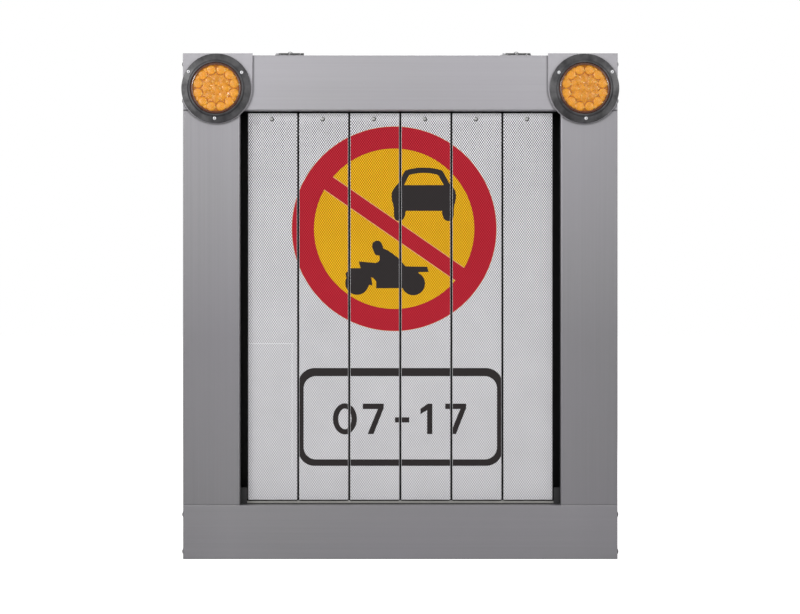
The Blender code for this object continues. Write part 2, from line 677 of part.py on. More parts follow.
def build_drive():
    """The worm gearmotor on its bracket, and the pinion under it."""
    tip_radius = IDLER_PITCH_RADIUS + GEAR_MODULE
    leg_inside = tip_radius + BRACKET_LEG_GAP
    leg_outside = leg_inside + BRACKET_SHEET
    half_depth = BRACKET_DEPTH / 2
    foot_bottom = UPPER_DECK_TOP + SEAT_GAP
    head_top = BRACKET_HEAD_BOTTOM + BRACKET_SHEET
    side_view = [
        (-leg_outside - BRACKET_FOOT, foot_bottom),
        (-leg_inside, foot_bottom),
        (-leg_inside, BRACKET_HEAD_BOTTOM),
        (leg_inside, BRACKET_HEAD_BOTTOM),
        (leg_inside, foot_bottom),
        (leg_outside + BRACKET_FOOT, foot_bottom),
        (leg_outside + BRACKET_FOOT, foot_bottom + BRACKET_SHEET),
        (leg_outside, foot_bottom + BRACKET_SHEET),
        (leg_outside, head_top),
        (-leg_outside, head_top),
        (-leg_outside, foot_bottom + BRACKET_SHEET),
        (-leg_outside - BRACKET_FOOT, foot_bottom + BRACKET_SHEET),
    ]
    sheet = flat_mesh("drive_bracket_sheet", [side_view], BRACKET_DEPTH)
    bracket = add_object(
        "drive_bracket",
        sheet,
        STEEL,
        (DRIVE_X, DRIVE_Y + half_depth, 0),
        (pi / 2, 0, 0),
    )
    shaft_hole = bore_radius(OUTPUT_SHAFT_RADIUS, SMALL_FACETS) + SEAT_GAP
    hole_profile = [
        (0, head_top + BRACKET_SHEET),
        (shaft_hole, head_top + BRACKET_SHEET),
        (shaft_hole, BRACKET_HEAD_BOTTOM - BRACKET_SHEET),
        (0, BRACKET_HEAD_BOTTOM - BRACKET_SHEET),
    ]
    hole = turned_mesh("bracket_hole", hole_profile, SMALL_FACETS)
    combine(bracket, add_cutter("bracket_shaft_hole", hole, (DRIVE_X, DRIVE_Y, 0)), "DIFFERENCE")

    half = GEARBOX_SIDE / 2
    gearbox_top = GEARBOX_BOTTOM + GEARBOX_HEIGHT
    case = box_mesh(
        "gearbox_case",
        (DRIVE_X - half, DRIVE_Y - half, GEARBOX_BOTTOM),
        (DRIVE_X + half, DRIVE_Y + half, gearbox_top),
        GEARBOX_EDGE,
    )
    gearbox = add_object("drive_gearbox", case, MOTOR_STEEL)
    socket_top = GEARBOX_BOTTOM + OUTPUT_SHAFT_REACH + SEAT_GAP
    socket_radius = bore_radius(OUTPUT_SHAFT_RADIUS, SMALL_FACETS)
    socket_profile = [
        (0, socket_top),
        (socket_radius, socket_top),
        (socket_radius, GEARBOX_BOTTOM - GEARBOX_EDGE),
        (0, GEARBOX_BOTTOM - GEARBOX_EDGE),
    ]
    socket = turned_mesh("gearbox_socket", socket_profile, SMALL_FACETS)
    combine(gearbox, add_cutter("output_socket", socket, (DRIVE_X, DRIVE_Y, 0)), "DIFFERENCE")

    motor_profile = [
        (0, MOTOR_NECK_LENGTH + MOTOR_LENGTH),
        (MOTOR_RADIUS - GEARBOX_EDGE, MOTOR_NECK_LENGTH + MOTOR_LENGTH),
        (MOTOR_RADIUS, MOTOR_NECK_LENGTH + MOTOR_LENGTH - GEARBOX_EDGE),
        (MOTOR_RADIUS, MOTOR_NECK_LENGTH),
        (MOTOR_NECK_RADIUS, MOTOR_NECK_LENGTH),
        (MOTOR_NECK_RADIUS, 0),
        (0, 0),
    ]
    can = turned_mesh("motor_can", motor_profile, 2 * SMALL_FACETS)
    motor_z = max(
        GEARBOX_BOTTOM + GEARBOX_HEIGHT / 2,
        head_top + SEAT_GAP + MOTOR_RADIUS,
    )
    add_object(
        "drive_motor",
        can,
        MOTOR_STEEL,
        (DRIVE_X + half + SEAT_GAP, DRIVE_Y, motor_z),
        (0, pi / 2, 0),
    )

    pinion_shape = flat_mesh("motor_pinion_teeth", [gear_outline(IDLER_TEETH, True)], GEAR_WIDTH)
    axis = axis_empty("motor_pinion_axis", DRIVE_X, DRIVE_Y)
    pinion = add_object(
        "motor_pinion", pinion_shape, STEEL, (0, 0, GEAR_BOTTOM), parent=axis
    )
    shaft_profile = [
        (0, GEARBOX_BOTTOM + OUTPUT_SHAFT_REACH),
        (OUTPUT_SHAFT_RADIUS, GEARBOX_BOTTOM + OUTPUT_SHAFT_REACH),
        (OUTPUT_SHAFT_RADIUS, GEAR_BOTTOM + GEAR_WIDTH / 2),
        (0, GEAR_BOTTOM + GEAR_WIDTH / 2),
    ]
    shaft = turned_mesh("output_shaft", shaft_profile, SMALL_FACETS)
    combine(pinion, add_cutter("pinion_shaft", shaft, (DRIVE_X, DRIVE_Y, 0)), "UNION")


def channel(name, low, high, material, open_ends=False):
    """A frame member open at the back, with rounded front edges. A post's ends are open too."""
    work = bmesh.new()
    bmesh.ops.create_cube(work, size=1.0)
    bmesh.ops.scale(work, verts=work.verts, vec=[b - a for a, b in zip(low, high)])
    bmesh.ops.translate(work, verts=work.verts, vec=[(a + b) / 2 for a, b in zip(low, high)])
    back = [face for face in work.faces if face.normal.y > 0.5]
    bmesh.ops.delete(work, geom=back, context="FACES_ONLY")
    front = [face for face in work.faces if face.normal.y < -0.5]
    bmesh.ops.bevel(
        work,
        geom=list(front[0].edges),
        offset=FRAME_EDGE_RADIUS,
        affect="EDGES",
        segments=2,
        profile=0.5,
    )
    if open_ends:
        ends = [face for face in work.faces if abs(face.normal.z) > 0.99]
        bmesh.ops.delete(work, geom=ends, context="FACES_ONLY")
    mesh = bpy.data.meshes.new(name)
    work.to_mesh(mesh)
    work.free()
    member = add_object(name, mesh, material)
    wall = member.modifiers.new("wall", "SOLIDIFY")
    wall.thickness = FRAME_WALL
    wall.offset = -1
    wall.use_even_offset = True
    return member


def build_frame():
    """The hinged front frame: two full-width beams with two posts between them."""
    half = CABINET_WIDTH / 2
    back = FRONT_Y + FRAME_DEPTH
    opening_top = BOTTOM_BEAM_HEIGHT + OPENING_HEIGHT
    channel(
        "bottom_beam",
        (-half, FRONT_Y, FRAME_LIFT),
        (half, back, BOTTOM_BEAM_HEIGHT),
        GREY_PAINT,
    )
    top = channel(
        "top_beam",
        (-half, FRONT_Y, opening_top),
        (half, back, CABINET_HEIGHT),
        GREY_PAINT,
    )
    post_low = BOTTOM_BEAM_HEIGHT + SEAT_GAP
    post_high = opening_top - SEAT_GAP
    inner = OPENING_WIDTH / 2
    for side, low_x, high_x in (("left", -half, -inner), ("right", inner, half)):
        low, high = (low_x, FRONT_Y, post_low), (high_x, back, post_high)
        channel(f"{side}_post", low, high, GREY_PAINT, open_ends=True)
    hole_profile = [
        (0, FRAME_WALL),
        (LAMP_WIRE_HOLE_RADIUS, FRAME_WALL),
        (LAMP_WIRE_HOLE_RADIUS, -2 * FRAME_WALL),
        (0, -2 * FRAME_WALL),
    ]
    hole = turned_mesh("lamp_wire_hole", hole_profile, SMALL_FACETS)
    for side, hand in (("left", -1), ("right", 1)):
        cutter = add_cutter(f"{side}_wire_hole", hole, (hand * LAMP_X, FRONT_Y, LAMP_Z), (pi / 2, 0, 0))
        combine(top, cutter, "DIFFERENCE")


def body_section(inset):
    """The cabinet body's outline, seen from the front, drawn in from its outside by an inset."""
    half = CABINET_WIDTH / 2 - inset
    return rounded_rectangle(
        -half, inset, half, CABINET_HEIGHT - inset, max(BODY_EDGE_RADIUS - inset, 0.0005)
    )


def build_body():
    """The cabinet body behind the frame, with a front lip, and the seal on that lip."""
    depth = REAR_Y - BODY_FRONT_Y
    facing = (pi / 2, 0, 0)
    sheet = flat_mesh("body_back", [body_section(0)], BODY_WALL)
    body = add_object("cabinet_body", sheet, BODY_PAINT, (0, REAR_Y, 0), facing)
    walls = flat_mesh("body_walls", [body_section(0), body_section(BODY_WALL)], depth)
    combine(body, add_cutter("body_walls", walls, (0, REAR_Y, 0), facing), "UNION")
    lip = flat_mesh("body_lip", [body_section(0), body_section(BODY_LIP)], BODY_WALL)
    place = (0, BODY_FRONT_Y + BODY_WALL, 0)
    combine(body, add_cutter("body_lip", lip, place, facing), "UNION")

    hole_radius = GLAND_THREAD_RADIUS + SEAT_GAP
    hole_profile = [
        (0, 2 * BODY_WALL),
        (hole_radius, 2 * BODY_WALL),
        (hole_radius, -2 * BODY_WALL),
        (0, -2 * BODY_WALL),
    ]
    hole = turned_mesh("gland_hole", hole_profile, SMALL_FACETS)
    place = (GLAND_OFFSET, REAR_Y, GLAND_HEIGHT)
    combine(body, add_cutter("gland_hole", hole, place, facing), "DIFFERENCE")

    edge = BODY_EDGE_RADIUS
    seal_outlines = [body_section(edge), body_section(edge + SEAL_WIDTH)]
    seal = flat_mesh("frame_seal", seal_outlines, SEAL_THICKNESS)
    add_object("frame_seal", seal, SEAL_RUBBER, (0, BODY_FRONT_Y - SEAT_GAP, 0), facing)


def lamp_plate_outline(hand):
    """The corner plate: square at the top, round below, cut off at the cabinet's side."""
    radius = LAMP_FLANGE_RADIUS + LAMP_PLATE_MARGIN
    side = LAMP_INSET
    top = LAMP_INSET + LAMP_PLATE_RISE
    reach = min(side / radius, 1.0)
    drop = -sqrt(max(1 - reach * reach, 0.0)) * radius
    points = [(side, drop), (side, top), (-radius, top), (-radius, 0)]
    steps = LAMP_FACETS // 2
    last = -acos(reach)
    for step in range(1, steps + 1):
        angle = -pi + (last + pi) * step / (steps + 1)
        points.append((radius * cos(angle), radius * sin(angle)))
    return [(hand * x, z) for x, z in points]


def lamp_housing_mesh():
    """The flanged lamp body, drawn upwards from the back of its flange at z = 0."""
    inside = LENS_RADIUS + SEAT_GAP
    spigot_inside = LAMP_SPIGOT_RADIUS - LAMP_SPIGOT_WALL
    edge = LAMP_FLANGE_THICKNESS / 4
    profile = [
        (inside, LAMP_RIM_HEIGHT),
        (LAMP_RIM_RADIUS - edge, LAMP_RIM_HEIGHT),
        (LAMP_RIM_RADIUS, LAMP_RIM_HEIGHT - edge),
        (LAMP_RIM_RADIUS + edge, LAMP_FLANGE_THICKNESS),
        (LAMP_FLANGE_RADIUS - edge, LAMP_FLANGE_THICKNESS),
        (LAMP_FLANGE_RADIUS, LAMP_FLANGE_THICKNESS - edge),
        (LAMP_FLANGE_RADIUS, 0),
        (LAMP_SPIGOT_RADIUS, 0),
        (LAMP_SPIGOT_RADIUS, -LAMP_SPIGOT_LENGTH),
        (spigot_inside, -LAMP_SPIGOT_LENGTH),
        (spigot_inside, LAMP_FLOOR),
        (inside, LAMP_FLOOR),
    ]
    return turned_mesh("lamp_housing", profile, LAMP_FACETS, ring=True)


def lens_mesh():
    """The amber cover, a shallow dome with a short edge, drawn from the flange's back."""
    base = LAMP_RIM_HEIGHT + SEAT_GAP - LENS_EDGE
    top = LAMP_RIM_HEIGHT + SEAT_GAP
    outer = []
    inner = []
    for step in range(LENS_STEPS + 1):
        share = sin(pi / 2 * step / LENS_STEPS)
        rise = LENS_DOME * sqrt(max(1 - share * share, 0.0))
        outer.append((LENS_RADIUS * share, top + rise))
        inner.append((LENS_RADIUS * share, base + rise))
    profile = outer + inner[::-1]
    return turned_mesh("lens", profile, LAMP_FACETS)


def optic_places():
    """The centres of the LED optics: an outer ring, an inner ring and one in the middle."""
    outer = polygon(OUTER_OPTICS, OUTER_OPTIC_CIRCLE, pi / OUTER_OPTICS)
    inner = polygon(INNER_OPTICS, INNER_OPTIC_CIRCLE)
    return outer + inner + [(0.0, 0.0)]


def board_mesh():
    """The LED board with its optics standing on it."""
    floor = LAMP_FLOOR + SEAT_GAP
    plate = flat_mesh("board_plate", [polygon(LAMP_FACETS, BOARD_RADIUS)], BOARD_THICKNESS)
    plate.transform(Matrix.Translation((0, 0, floor)))
    base = bpy.data.objects.new("board_base", plate)
    PARTS.objects.link(base)
    work = bmesh.new()
    depth = OPTIC_HEIGHT + BOARD_THICKNESS / 2
    for x, y in optic_places():
        place = Matrix.Translation((x, y, floor + BOARD_THICKNESS + OPTIC_HEIGHT - depth / 2))
        bmesh.ops.create_cone(
            work,
            cap_ends=True,
            segments=OPTIC_FACETS,
            radius1=OPTIC_RADIUS,
            radius2=OPTIC_RADIUS * OPTIC_TIP_SHARE,
            depth=depth,
            matrix=place,
        )
    mesh = bpy.data.meshes.new("optics")
    work.to_mesh(mesh)
    work.free()
    optics = add_cutter("board_optics", mesh)
    combine(base, optics, "UNION")
    made = made_mesh(base)
    for used in (base, optics):
        bpy.data.objects.remove(used)
    made.name = "led_board"
    return made


def build_lamps():
    """The corner plates and the two lamps on them."""
    housing = lamp_housing_mesh()
    lens = lens_mesh()
    board = board_mesh()
    hole = polygon(LAMP_FACETS, LAMP_SPIGOT_RADIUS + SEAT_GAP)
    facing = (pi / 2, 0, 0)
    for side, hand in (("left", -1), ("right", 1)):
        place = (hand * LAMP_X, PLATE_BACK_Y, LAMP_Z)
        outline = lamp_plate_outline(hand)
        plate = flat_mesh(f"{side}_lamp_plate", [outline, hole], LAMP_PLATE_THICKNESS)
        add_object(f"{side}_lamp_plate", plate, GREY_PAINT, place, facing)
        place = (hand * LAMP_X, FLANGE_BACK_Y, LAMP_Z)
        add_object(f"{side}_lamp_housing", housing, LAMP_GREY, place, facing)
        add_object(f"{side}_lamp_led_board", board, BOARD_AMBER, place, facing)
        add_object(f"{side}_lamp_lens", lens, AMBER, place, facing)


def knuckle_mesh(name, length, bored):
    """One hinge knuckle along +X from its start."""
    facets = SMALL_FACETS
    inner = bore_radius(HINGE_PIN_RADIUS, facets)
    profile = [
        (HINGE_BARREL_RADIUS, length),
        (HINGE_BARREL_RADIUS, 0),
    ]
    if bored:
        profile = [(inner, length)] + profile + [(inner, 0)]
    else:
        profile = [(0, length)] + profile + [(0, 0)]
    return turned_mesh(name, profile, facets, ring=bored)


def eye_mesh():
    """A bent wire eye that stands over the hinge, with its feet at z = 0."""
    path = [(-EYE_RADIUS, 0.0)]
    for step in range(EYE_STEPS + 1):
        angle = pi - pi * step / EYE_STEPS
        path.append((EYE_RADIUS * cos(angle), EYE_BEND_HEIGHT + EYE_RADIUS * sin(angle)))
    path.append((EYE_RADIUS, 0.0))
    curve = bpy.data.curves.new("eye_wire", "CURVE")
    curve.dimensions = "3D"
    curve.bevel_depth = EYE_WIRE_RADIUS
    curve.bevel_resolution = 1
    curve.use_fill_caps = True
    spline = curve.splines.new("POLY")
    spline.points.add(len(path) - 1)
    for point, (x, z) in zip(spline.points, path):
        point.co = (x, 0, z, 1)
    guide = bpy.data.objects.new("eye_wire", curve)
    PARTS.objects.link(guide)
    mesh = tidy_mesh(made_mesh(guide))
    bpy.data.objects.remove(guide)
    return mesh


def build_hinge(side, middle_x):
    """One top hinge: a leaf on the frame, and a leaf on the body that holds the pin."""
    total = sum(HINGE_KNUCKLES)
    start_x = middle_x - total / 2
    leaf_low = CABINET_HEIGHT + SEAT_GAP
    leaf_high = leaf_low + HINGE_LEAF
    running = HINGE_BARREL_RADIUS + HINGE_KNUCKLE_GAP
    spans = {
        "frame": (HINGE_Y - running - HINGE_LEAF_DEPTH, HINGE_Y - running),
        "body": (HINGE_Y + running, HINGE_Y + running + HINGE_LEAF_DEPTH),
    }
    for owner, (near, far) in spans.items():
        name = f"{side}_hinge_{owner}_leaf"
        mesh = box_mesh(name, (start_x, near, leaf_low), (start_x + total, far, leaf_high))
        leaf = add_object(name, mesh, STEEL)
        at = start_x
        for number, length in enumerate(HINGE_KNUCKLES):
            low = at + HINGE_KNUCKLE_GAP / 2
            high = at + length - HINGE_KNUCKLE_GAP / 2
            at += length
            if (number % 2 == 0) != (owner == "frame"):
                continue
            knuckle = knuckle_mesh(f"{name}_knuckle_{number}", high - low, owner == "frame")
            turn = (0, pi / 2, 0)
            shape = add_cutter(f"{name}_knuckle_{number}", knuckle, (low, HINGE_Y, HINGE_Z), turn)
            combine(leaf, shape, "UNION")
            edge = near + HINGE_LEAF if owner == "body" else far - HINGE_LEAF
            inset = HINGE_KNUCKLE_GAP / 2
            tab_low = (low + inset, min(HINGE_Y, edge), leaf_low + inset)
            tab_high = (high - inset, max(HINGE_Y, edge), leaf_high - inset)
            tab = box_mesh(f"{name}_tab_{number}", tab_low, tab_high)
            combine(leaf, add_cutter(f"{name}_tab_{number}", tab), "UNION")
        if owner == "body":
            pin_profile = [
                (0, total),
                (HINGE_PIN_RADIUS, total),
                (HINGE_PIN_RADIUS, 0),
                (0, 0),
            ]
            pin = turned_mesh(f"{name}_pin", pin_profile, SMALL_FACETS)
            pin.transform(Matrix.Rotation(pi / 2, 4, "Y"))
            eye_place = (middle_x, near + HINGE_LEAF_DEPTH / 3, leaf_low + HINGE_LEAF / 2)
            placed = [(pin, (start_x, HINGE_Y, HINGE_Z)), (eye_mesh(), eye_place)]
            wires = gathered_mesh(f"{name}_wires", placed)
            combine(leaf, add_cutter(f"{name}_wires", wires), "UNION")


def build_hinges():
    """Both top hinges."""
    build_hinge("left", LEFT_HINGE_X)
    build_hinge("right", RIGHT_HINGE_X)


def build_rails():
    """The two C rails on the back, along X, with their slots facing away from the sign."""
    half = RAIL_HEIGHT / 2
    slot = RAIL_SLOT / 2
    section = [
        (0, -half),
        (RAIL_DEPTH, -half),
        (RAIL_DEPTH, -slot),
        (RAIL_DEPTH - RAIL_WALL, -slot),
        (RAIL_DEPTH - RAIL_WALL, -half + RAIL_WALL),
        (RAIL_WALL, -half + RAIL_WALL),
        (RAIL_WALL, half - RAIL_WALL),
        (RAIL_DEPTH - RAIL_WALL, half - RAIL_WALL),
        (RAIL_DEPTH - RAIL_WALL, slot),
        (RAIL_DEPTH, slot),
        (RAIL_DEPTH, half),
        (0, half),
    ]
    rail = flat_mesh("mounting_rail", [section], RAIL_LENGTH)
    rail.transform(Matrix(((0, 0, 1, 0), (1, 0, 0, 0), (0, 1, 0, 0), (0, 0, 0, 1))))
    for name, height in (("lower", LOWER_RAIL_HEIGHT), ("upper", UPPER_RAIL_HEIGHT)):
        place = (-RAIL_LENGTH / 2, REAR_Y + SEAT_GAP, height)
        add_object(f"{name}_mounting_rail", rail, BARE_ALUMINIUM, place)


def build_control_unit():
    """The electronics box on the cabinet's floor, with its lid slightly wider."""
    half = CONTROL_WIDTH / 2
    back = REAR_Y - BODY_WALL - SEAT_GAP
    front = back - CONTROL_DEPTH
    bottom = BODY_WALL + SEAT_GAP
    top = bottom + CONTROL_HEIGHT
    step = CONTROL_LID_STEP
    base = box_mesh(
        "control_base",
        (-half + step, front + step, bottom),
        (half - step, back - step, top - CONTROL_LID / 2),
    )
    unit = add_object("control_unit", base, CONTROL_GREY)
    lid = box_mesh(
        "control_lid", (-half, front, top - CONTROL_LID), (half, back, top), CONTROL_EDGE
    )
    combine(unit, add_cutter("control_lid", lid), "UNION")


def build_gland():
    """The cable gland in the back wall, pointing out of it."""
    hex_end = SEAT_GAP + GLAND_HEX_LENGTH
    nose = hex_end + GLAND_DOME_LENGTH
    profile = [
        (GLAND_BORE_RADIUS, nose),
        (GLAND_NOSE_RADIUS, nose),
        (GLAND_THREAD_RADIUS, hex_end),
        (GLAND_THREAD_RADIUS, -GLAND_THREAD_LENGTH),
        (GLAND_BORE_RADIUS, -GLAND_THREAD_LENGTH),
    ]
    body = turned_mesh("gland_body", profile, SMALL_FACETS, ring=True)
    place = (GLAND_OFFSET, REAR_Y, GLAND_HEIGHT)
    out = (-pi / 2, 0, 0)
    gland = add_object("cable_gland", body, BLACK_NYLON, place, out)
    nut_outlines = [
        hexagon(GLAND_HEX_FLATS),
        polygon(SMALL_FACETS, (GLAND_BORE_RADIUS + GLAND_THREAD_RADIUS) / 2),
    ]
    nut = flat_mesh("gland_nut", nut_outlines, GLAND_HEX_LENGTH)
    nut.transform(Matrix.Translation((0, 0, SEAT_GAP)))
    combine(gland, add_cutter("gland_nut", nut, place, out), "UNION")


build_prisms()
build_idlers()
build_decks()
build_strips()
build_drive()
build_frame()
build_body()
build_lamps()
build_hinges()
build_rails()
build_control_unit()
build_gland()
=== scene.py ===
"""Looks of the prism road sign: film and sign image on the prisms, lamps, screws and finishes."""

import json
from math import cos, pi, radians, sin

import bmesh
import bpy
from mathutils import Matrix, Vector


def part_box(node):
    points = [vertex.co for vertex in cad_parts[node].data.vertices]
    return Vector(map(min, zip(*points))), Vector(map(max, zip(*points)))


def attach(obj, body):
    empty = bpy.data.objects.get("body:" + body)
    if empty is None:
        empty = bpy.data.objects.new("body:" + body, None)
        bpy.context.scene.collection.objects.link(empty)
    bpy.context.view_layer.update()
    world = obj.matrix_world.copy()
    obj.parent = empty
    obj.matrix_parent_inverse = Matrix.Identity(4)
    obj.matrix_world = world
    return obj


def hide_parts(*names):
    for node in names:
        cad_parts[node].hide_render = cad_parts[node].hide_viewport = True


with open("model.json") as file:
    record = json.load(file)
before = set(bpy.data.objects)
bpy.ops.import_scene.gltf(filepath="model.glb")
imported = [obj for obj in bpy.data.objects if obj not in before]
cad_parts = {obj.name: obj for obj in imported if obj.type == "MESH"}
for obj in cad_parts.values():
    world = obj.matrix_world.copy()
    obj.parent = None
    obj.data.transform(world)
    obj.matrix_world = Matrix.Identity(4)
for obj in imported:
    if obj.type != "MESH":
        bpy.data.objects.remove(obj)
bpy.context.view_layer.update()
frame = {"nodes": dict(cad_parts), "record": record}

scene = bpy.context.scene

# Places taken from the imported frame
joints = {joint["child"]: joint for joint in frame["record"]["behaviour"]["joints"]}
frame_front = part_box("bottom_beam")[0].y
cabinet_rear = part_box("cabinet_body")[1].y
cabinet_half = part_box("cabinet_body")[1].x
cabinet_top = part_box("cabinet_body")[1].z
prism_low, prism_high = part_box("prism_1_profile")
prism_face_y = prism_low.y
prism_numbers = range(1, 7)
prism_x = {i: joints[f"prism_{i}"]["pos_m"][0] for i in prism_numbers}
prism_axis_y = joints["prism_1"]["pos_m"][1]
flange_low, flange_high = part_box("left_lamp_housing")
lamp_x = (flange_low.x + flange_high.x) / -2
lamp_z = (flange_low.z + flange_high.z) / 2
plate_low, plate_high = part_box("left_lamp_plate")
lamp_back = plate_low.y - 0.0003
gear_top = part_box("prism_1_gear")[1].z
deck_thickness = 0.0037
deck_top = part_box("upper_bearing_strip")[0].z + deck_thickness

both_sides = (("left", -1), ("right", 1))

# The lamp plates' round lower ends start this far above the lamps' middle
plate_lift = 0.0028

# Film and print sizes
film_width = 0.0948
film_thickness = 0.0003
print_lift = 0.00004
cell_width = 0.00448
cell_height = 0.00628
cells_low_end = 0.37

# Heads of the screws and rivets: radius and height
face_head = (0.0034, 0.0022)
lamp_head = (0.0034, 0.0026)
side_head = (0.0050, 0.0020)
hinge_head = (0.0026, 0.0011)
rivet_head = (0.0055, 0.0016)
gearbox_head = (0.0029, 0.0018)
bracket_head = (0.0031, 0.0020)
lid_head = (0.0034, 0.0016)
# Radius and height of the dark ring painted beside each face screw as its shadow
face_screw_shadow_ring, shadow_ring_height = 0.0043, 0.0002

# Places of the screws and rivets
face_screw_x, face_screw_z = -0.0025, 0.8590
lamp_screw_places = ((0.0536, 0.0320), (-0.0496, 0.0307), (0.0028, -0.0582))
side_screw_heights = (0.015, 0.087, 0.892, 0.963)
side_screw_depth = 0.0070
hinge_screw_steps = (-0.019, 0.0, 0.019)
hinge_screw_rows = (("frame", "front_frame", -0.0672), ("body", "cabinet", -0.0354))
rivet_steps = (-0.320, -0.160, 0.0, 0.160, 0.320)
strip_screw_steps = (-0.2, -0.1, 0.0, 0.1, 0.2)


def add_node(material, kind, inputs=None, **settings):
    """Add a node, with its settings and with values or links for its inputs."""
    node = material.node_tree.nodes.new(kind)
    for name, value in settings.items():
        setattr(node, name, value)
    for name, value in (inputs or {}).items():
        if isinstance(value, bpy.types.NodeSocket):
            material.node_tree.links.new(value, node.inputs[name])
        else:
            node.inputs[name].default_value = value
    return node


def calculate(material, operation, first, second=0.0, third=0.0):
    """One step of arithmetic in a material."""
    inputs = {0: first, 1: second, 2: third}
    return add_node(material, "ShaderNodeMath", inputs, operation=operation).outputs[0]


def surface(name, colour, roughness, metallic=0.0, **shader_values):
    """A material with its even values set on the shader itself."""
    material = bpy.data.materials.new(name)
    material.use_nodes = True
    shader = material.node_tree.nodes["Principled BSDF"]
    shader.inputs["Base Color"].default_value = (*colour, 1.0)
    shader.inputs["Roughness"].default_value = roughness
    shader.inputs["Metallic"].default_value = metallic
    for socket, value in shader_values.items():
        shader.inputs[socket.replace("_", " ")].default_value = value
    return material, shader


def feed(material, shader, socket, value):
    """Link a pattern to one of the shader's sockets."""
    material.node_tree.links.new(value, shader.inputs[socket])


def own_place(material):
    """The object's own coordinates."""
    return add_node(material, "ShaderNodeTexCoord").outputs["Object"]


def own_axes(material):
    """The object's own coordinates, one by one."""
    return add_node(material, "ShaderNodeSeparateXYZ", {0: own_place(material)}).outputs


def grain(material, stretch, detail=3.0, roughness=0.55):
    """Noise on the object's own coordinates, stretched by its scale along each axis."""
    inputs = {"Vector": own_place(material), "Scale": stretch}
    mapping = add_node(material, "ShaderNodeMapping", inputs).outputs["Vector"]
    inputs = {"Vector": mapping, "Scale": 1.0, "Detail": detail, "Roughness": roughness}
    return add_node(material, "ShaderNodeTexNoise", inputs).outputs["Fac"]


def spread(material, value, low, high, from_low=0.3, from_high=0.7):
    """Bring a pattern into a range."""
    inputs = {0: value, 1: from_low, 2: from_high, 3: low, 4: high}
    return add_node(material, "ShaderNodeMapRange", inputs).outputs[0]


def blend_colours(material, factor, first, second):
    """Mix two colours, which may be fixed or patterns, by a pattern."""
    mix = add_node(material, "ShaderNodeMix", data_type="RGBA")
    for place, value in ((0, factor), (6, first), (7, second)):
        if isinstance(value, bpy.types.NodeSocket):
            material.node_tree.links.new(value, mix.inputs[place])
        elif place == 0:
            mix.inputs[place].default_value = value
        else:
            mix.inputs[place].default_value = (*value, 1.0)
    return mix.outputs[2]


def distance_from(material, value, middle):
    """How far a pattern's value is from a fixed one."""
    return calculate(material, "ABSOLUTE", calculate(material, "SUBTRACT", value, middle))


def varied(material, pattern, colour, low, high):
    """A colour that a pattern makes darker and lighter."""
    factor = spread(material, pattern, 0, 1)
    return blend_colours(material, factor, shaded(colour, low), shaded(colour, high))


def bump(material, shader, height, distance, strength):
    """A fine relief."""
    inputs = {"Height": height, "Distance": distance, "Strength": strength}
    relief = add_node(material, "ShaderNodeBump", inputs)
    feed(material, shader, "Normal", relief.outputs["Normal"])


def shaded(colour, factor):
    """A colour made lighter or darker."""
    return tuple(min(channel * factor, 1.0) for channel in colour)


def coated_metal(name, colour, stretch, roughness=0.36, metallic=0.35):
    """Metallic paint on drawn aluminium: draw lines, flake, and painted shade that darkens it low
    down and towards the outer sides.

    A painted shadow also lies in a thin line along the edges of the lamp plates.
    """
    low_shade, side_shade, plate_shadow_shade = 0.63, 0.9, 0.46
    material, shader = surface(name, colour, roughness, metallic)
    lines = grain(material, stretch, detail=4.0)
    clouds = grain(material, (3, 3, 3), detail=2.0)
    flake = grain(material, (1400, 1400, 1400), detail=1.0)
    pale = varied(material, lines, colour, 0.955, 1.035)
    tint = (colour[0] * 0.97, colour[1] * 0.95, colour[2])
    cloudy = blend_colours(material, spread(material, clouds, 0, 0.6), pale, tint)
    across, depth, height = own_axes(material)
    # Painted shade: the paint darkens towards the bottom and towards the outer sides
    lower_painted_shade = spread(material, height, low_shade, 1, 0.44 * cabinet_top, cabinet_top)
    outward = calculate(material, "ABSOLUTE", across)
    outer_painted_shade = spread(material, outward, 1, side_shade, 0.78 * cabinet_half, cabinet_half)
    beside = calculate(material, "SUBTRACT", outward, lamp_x)
    drop = calculate(material, "SUBTRACT", height, lamp_z + plate_lift)
    below = calculate(material, "MINIMUM", drop, 0)
    near = add_node(material, "ShaderNodeCombineXYZ", {0: beside, 1: below}).outputs[0]
    measure = add_node(material, "ShaderNodeVectorMath", {0: near}, operation="LENGTH")
    reach = measure.outputs["Value"]
    plate_edge = plate_high.x + lamp_x
    # Painted shadow: a dark line on the frame just outside each lamp plate's edge
    plate_shadow_start, plate_shadow_end = plate_edge + 0.001, plate_edge + 0.0048
    plate_edge_shadow = spread(material, reach, plate_shadow_shade, 1, plate_shadow_start, plate_shadow_end)
    on_plate = calculate(material, "LESS_THAN", reach, plate_edge + 0.0004)
    behind = calculate(material, "GREATER_THAN", depth, frame_front + 0.0008)
    plate_edge_shadow = calculate(material, "MAXIMUM", plate_edge_shadow, calculate(material, "MAXIMUM", on_plate, behind))
    painted_shade = calculate(material, "MULTIPLY", calculate(material, "MULTIPLY", lower_painted_shade, outer_painted_shade), plate_edge_shadow)
    inputs = {0: cloudy, "Scale": painted_shade}
    paint_with_painted_shade = add_node(material, "ShaderNodeVectorMath", inputs, operation="SCALE")
    feed(material, shader, "Base Color", paint_with_painted_shade.outputs[0])
    dullness = spread(material, clouds, roughness - 0.03, roughness + 0.04)
    feed(material, shader, "Roughness", dullness)
    both = calculate(material, "ADD", calculate(material, "MULTIPLY", lines, 0.5), flake)
    bump(material, shader, both, 0.00003, 0.5)
    return material


def bare_metal(name, colour, stretch, roughness=0.3, marks=0.12, metallic=1.0):
    """Bare drawn or plated metal with lines along its length."""
    material, shader = surface(name, colour, roughness, metallic)
    lines = grain(material, stretch, detail=5.0, roughness=0.65)
    tone = varied(material, lines, colour, 1 - marks, 1 + marks / 2)
    feed(material, shader, "Base Color", tone)
    dullness = spread(material, lines, roughness - 0.06, roughness + 0.10)
    feed(material, shader, "Roughness", dullness)
    bump(material, shader, lines, 0.00004, 0.6)
    return material


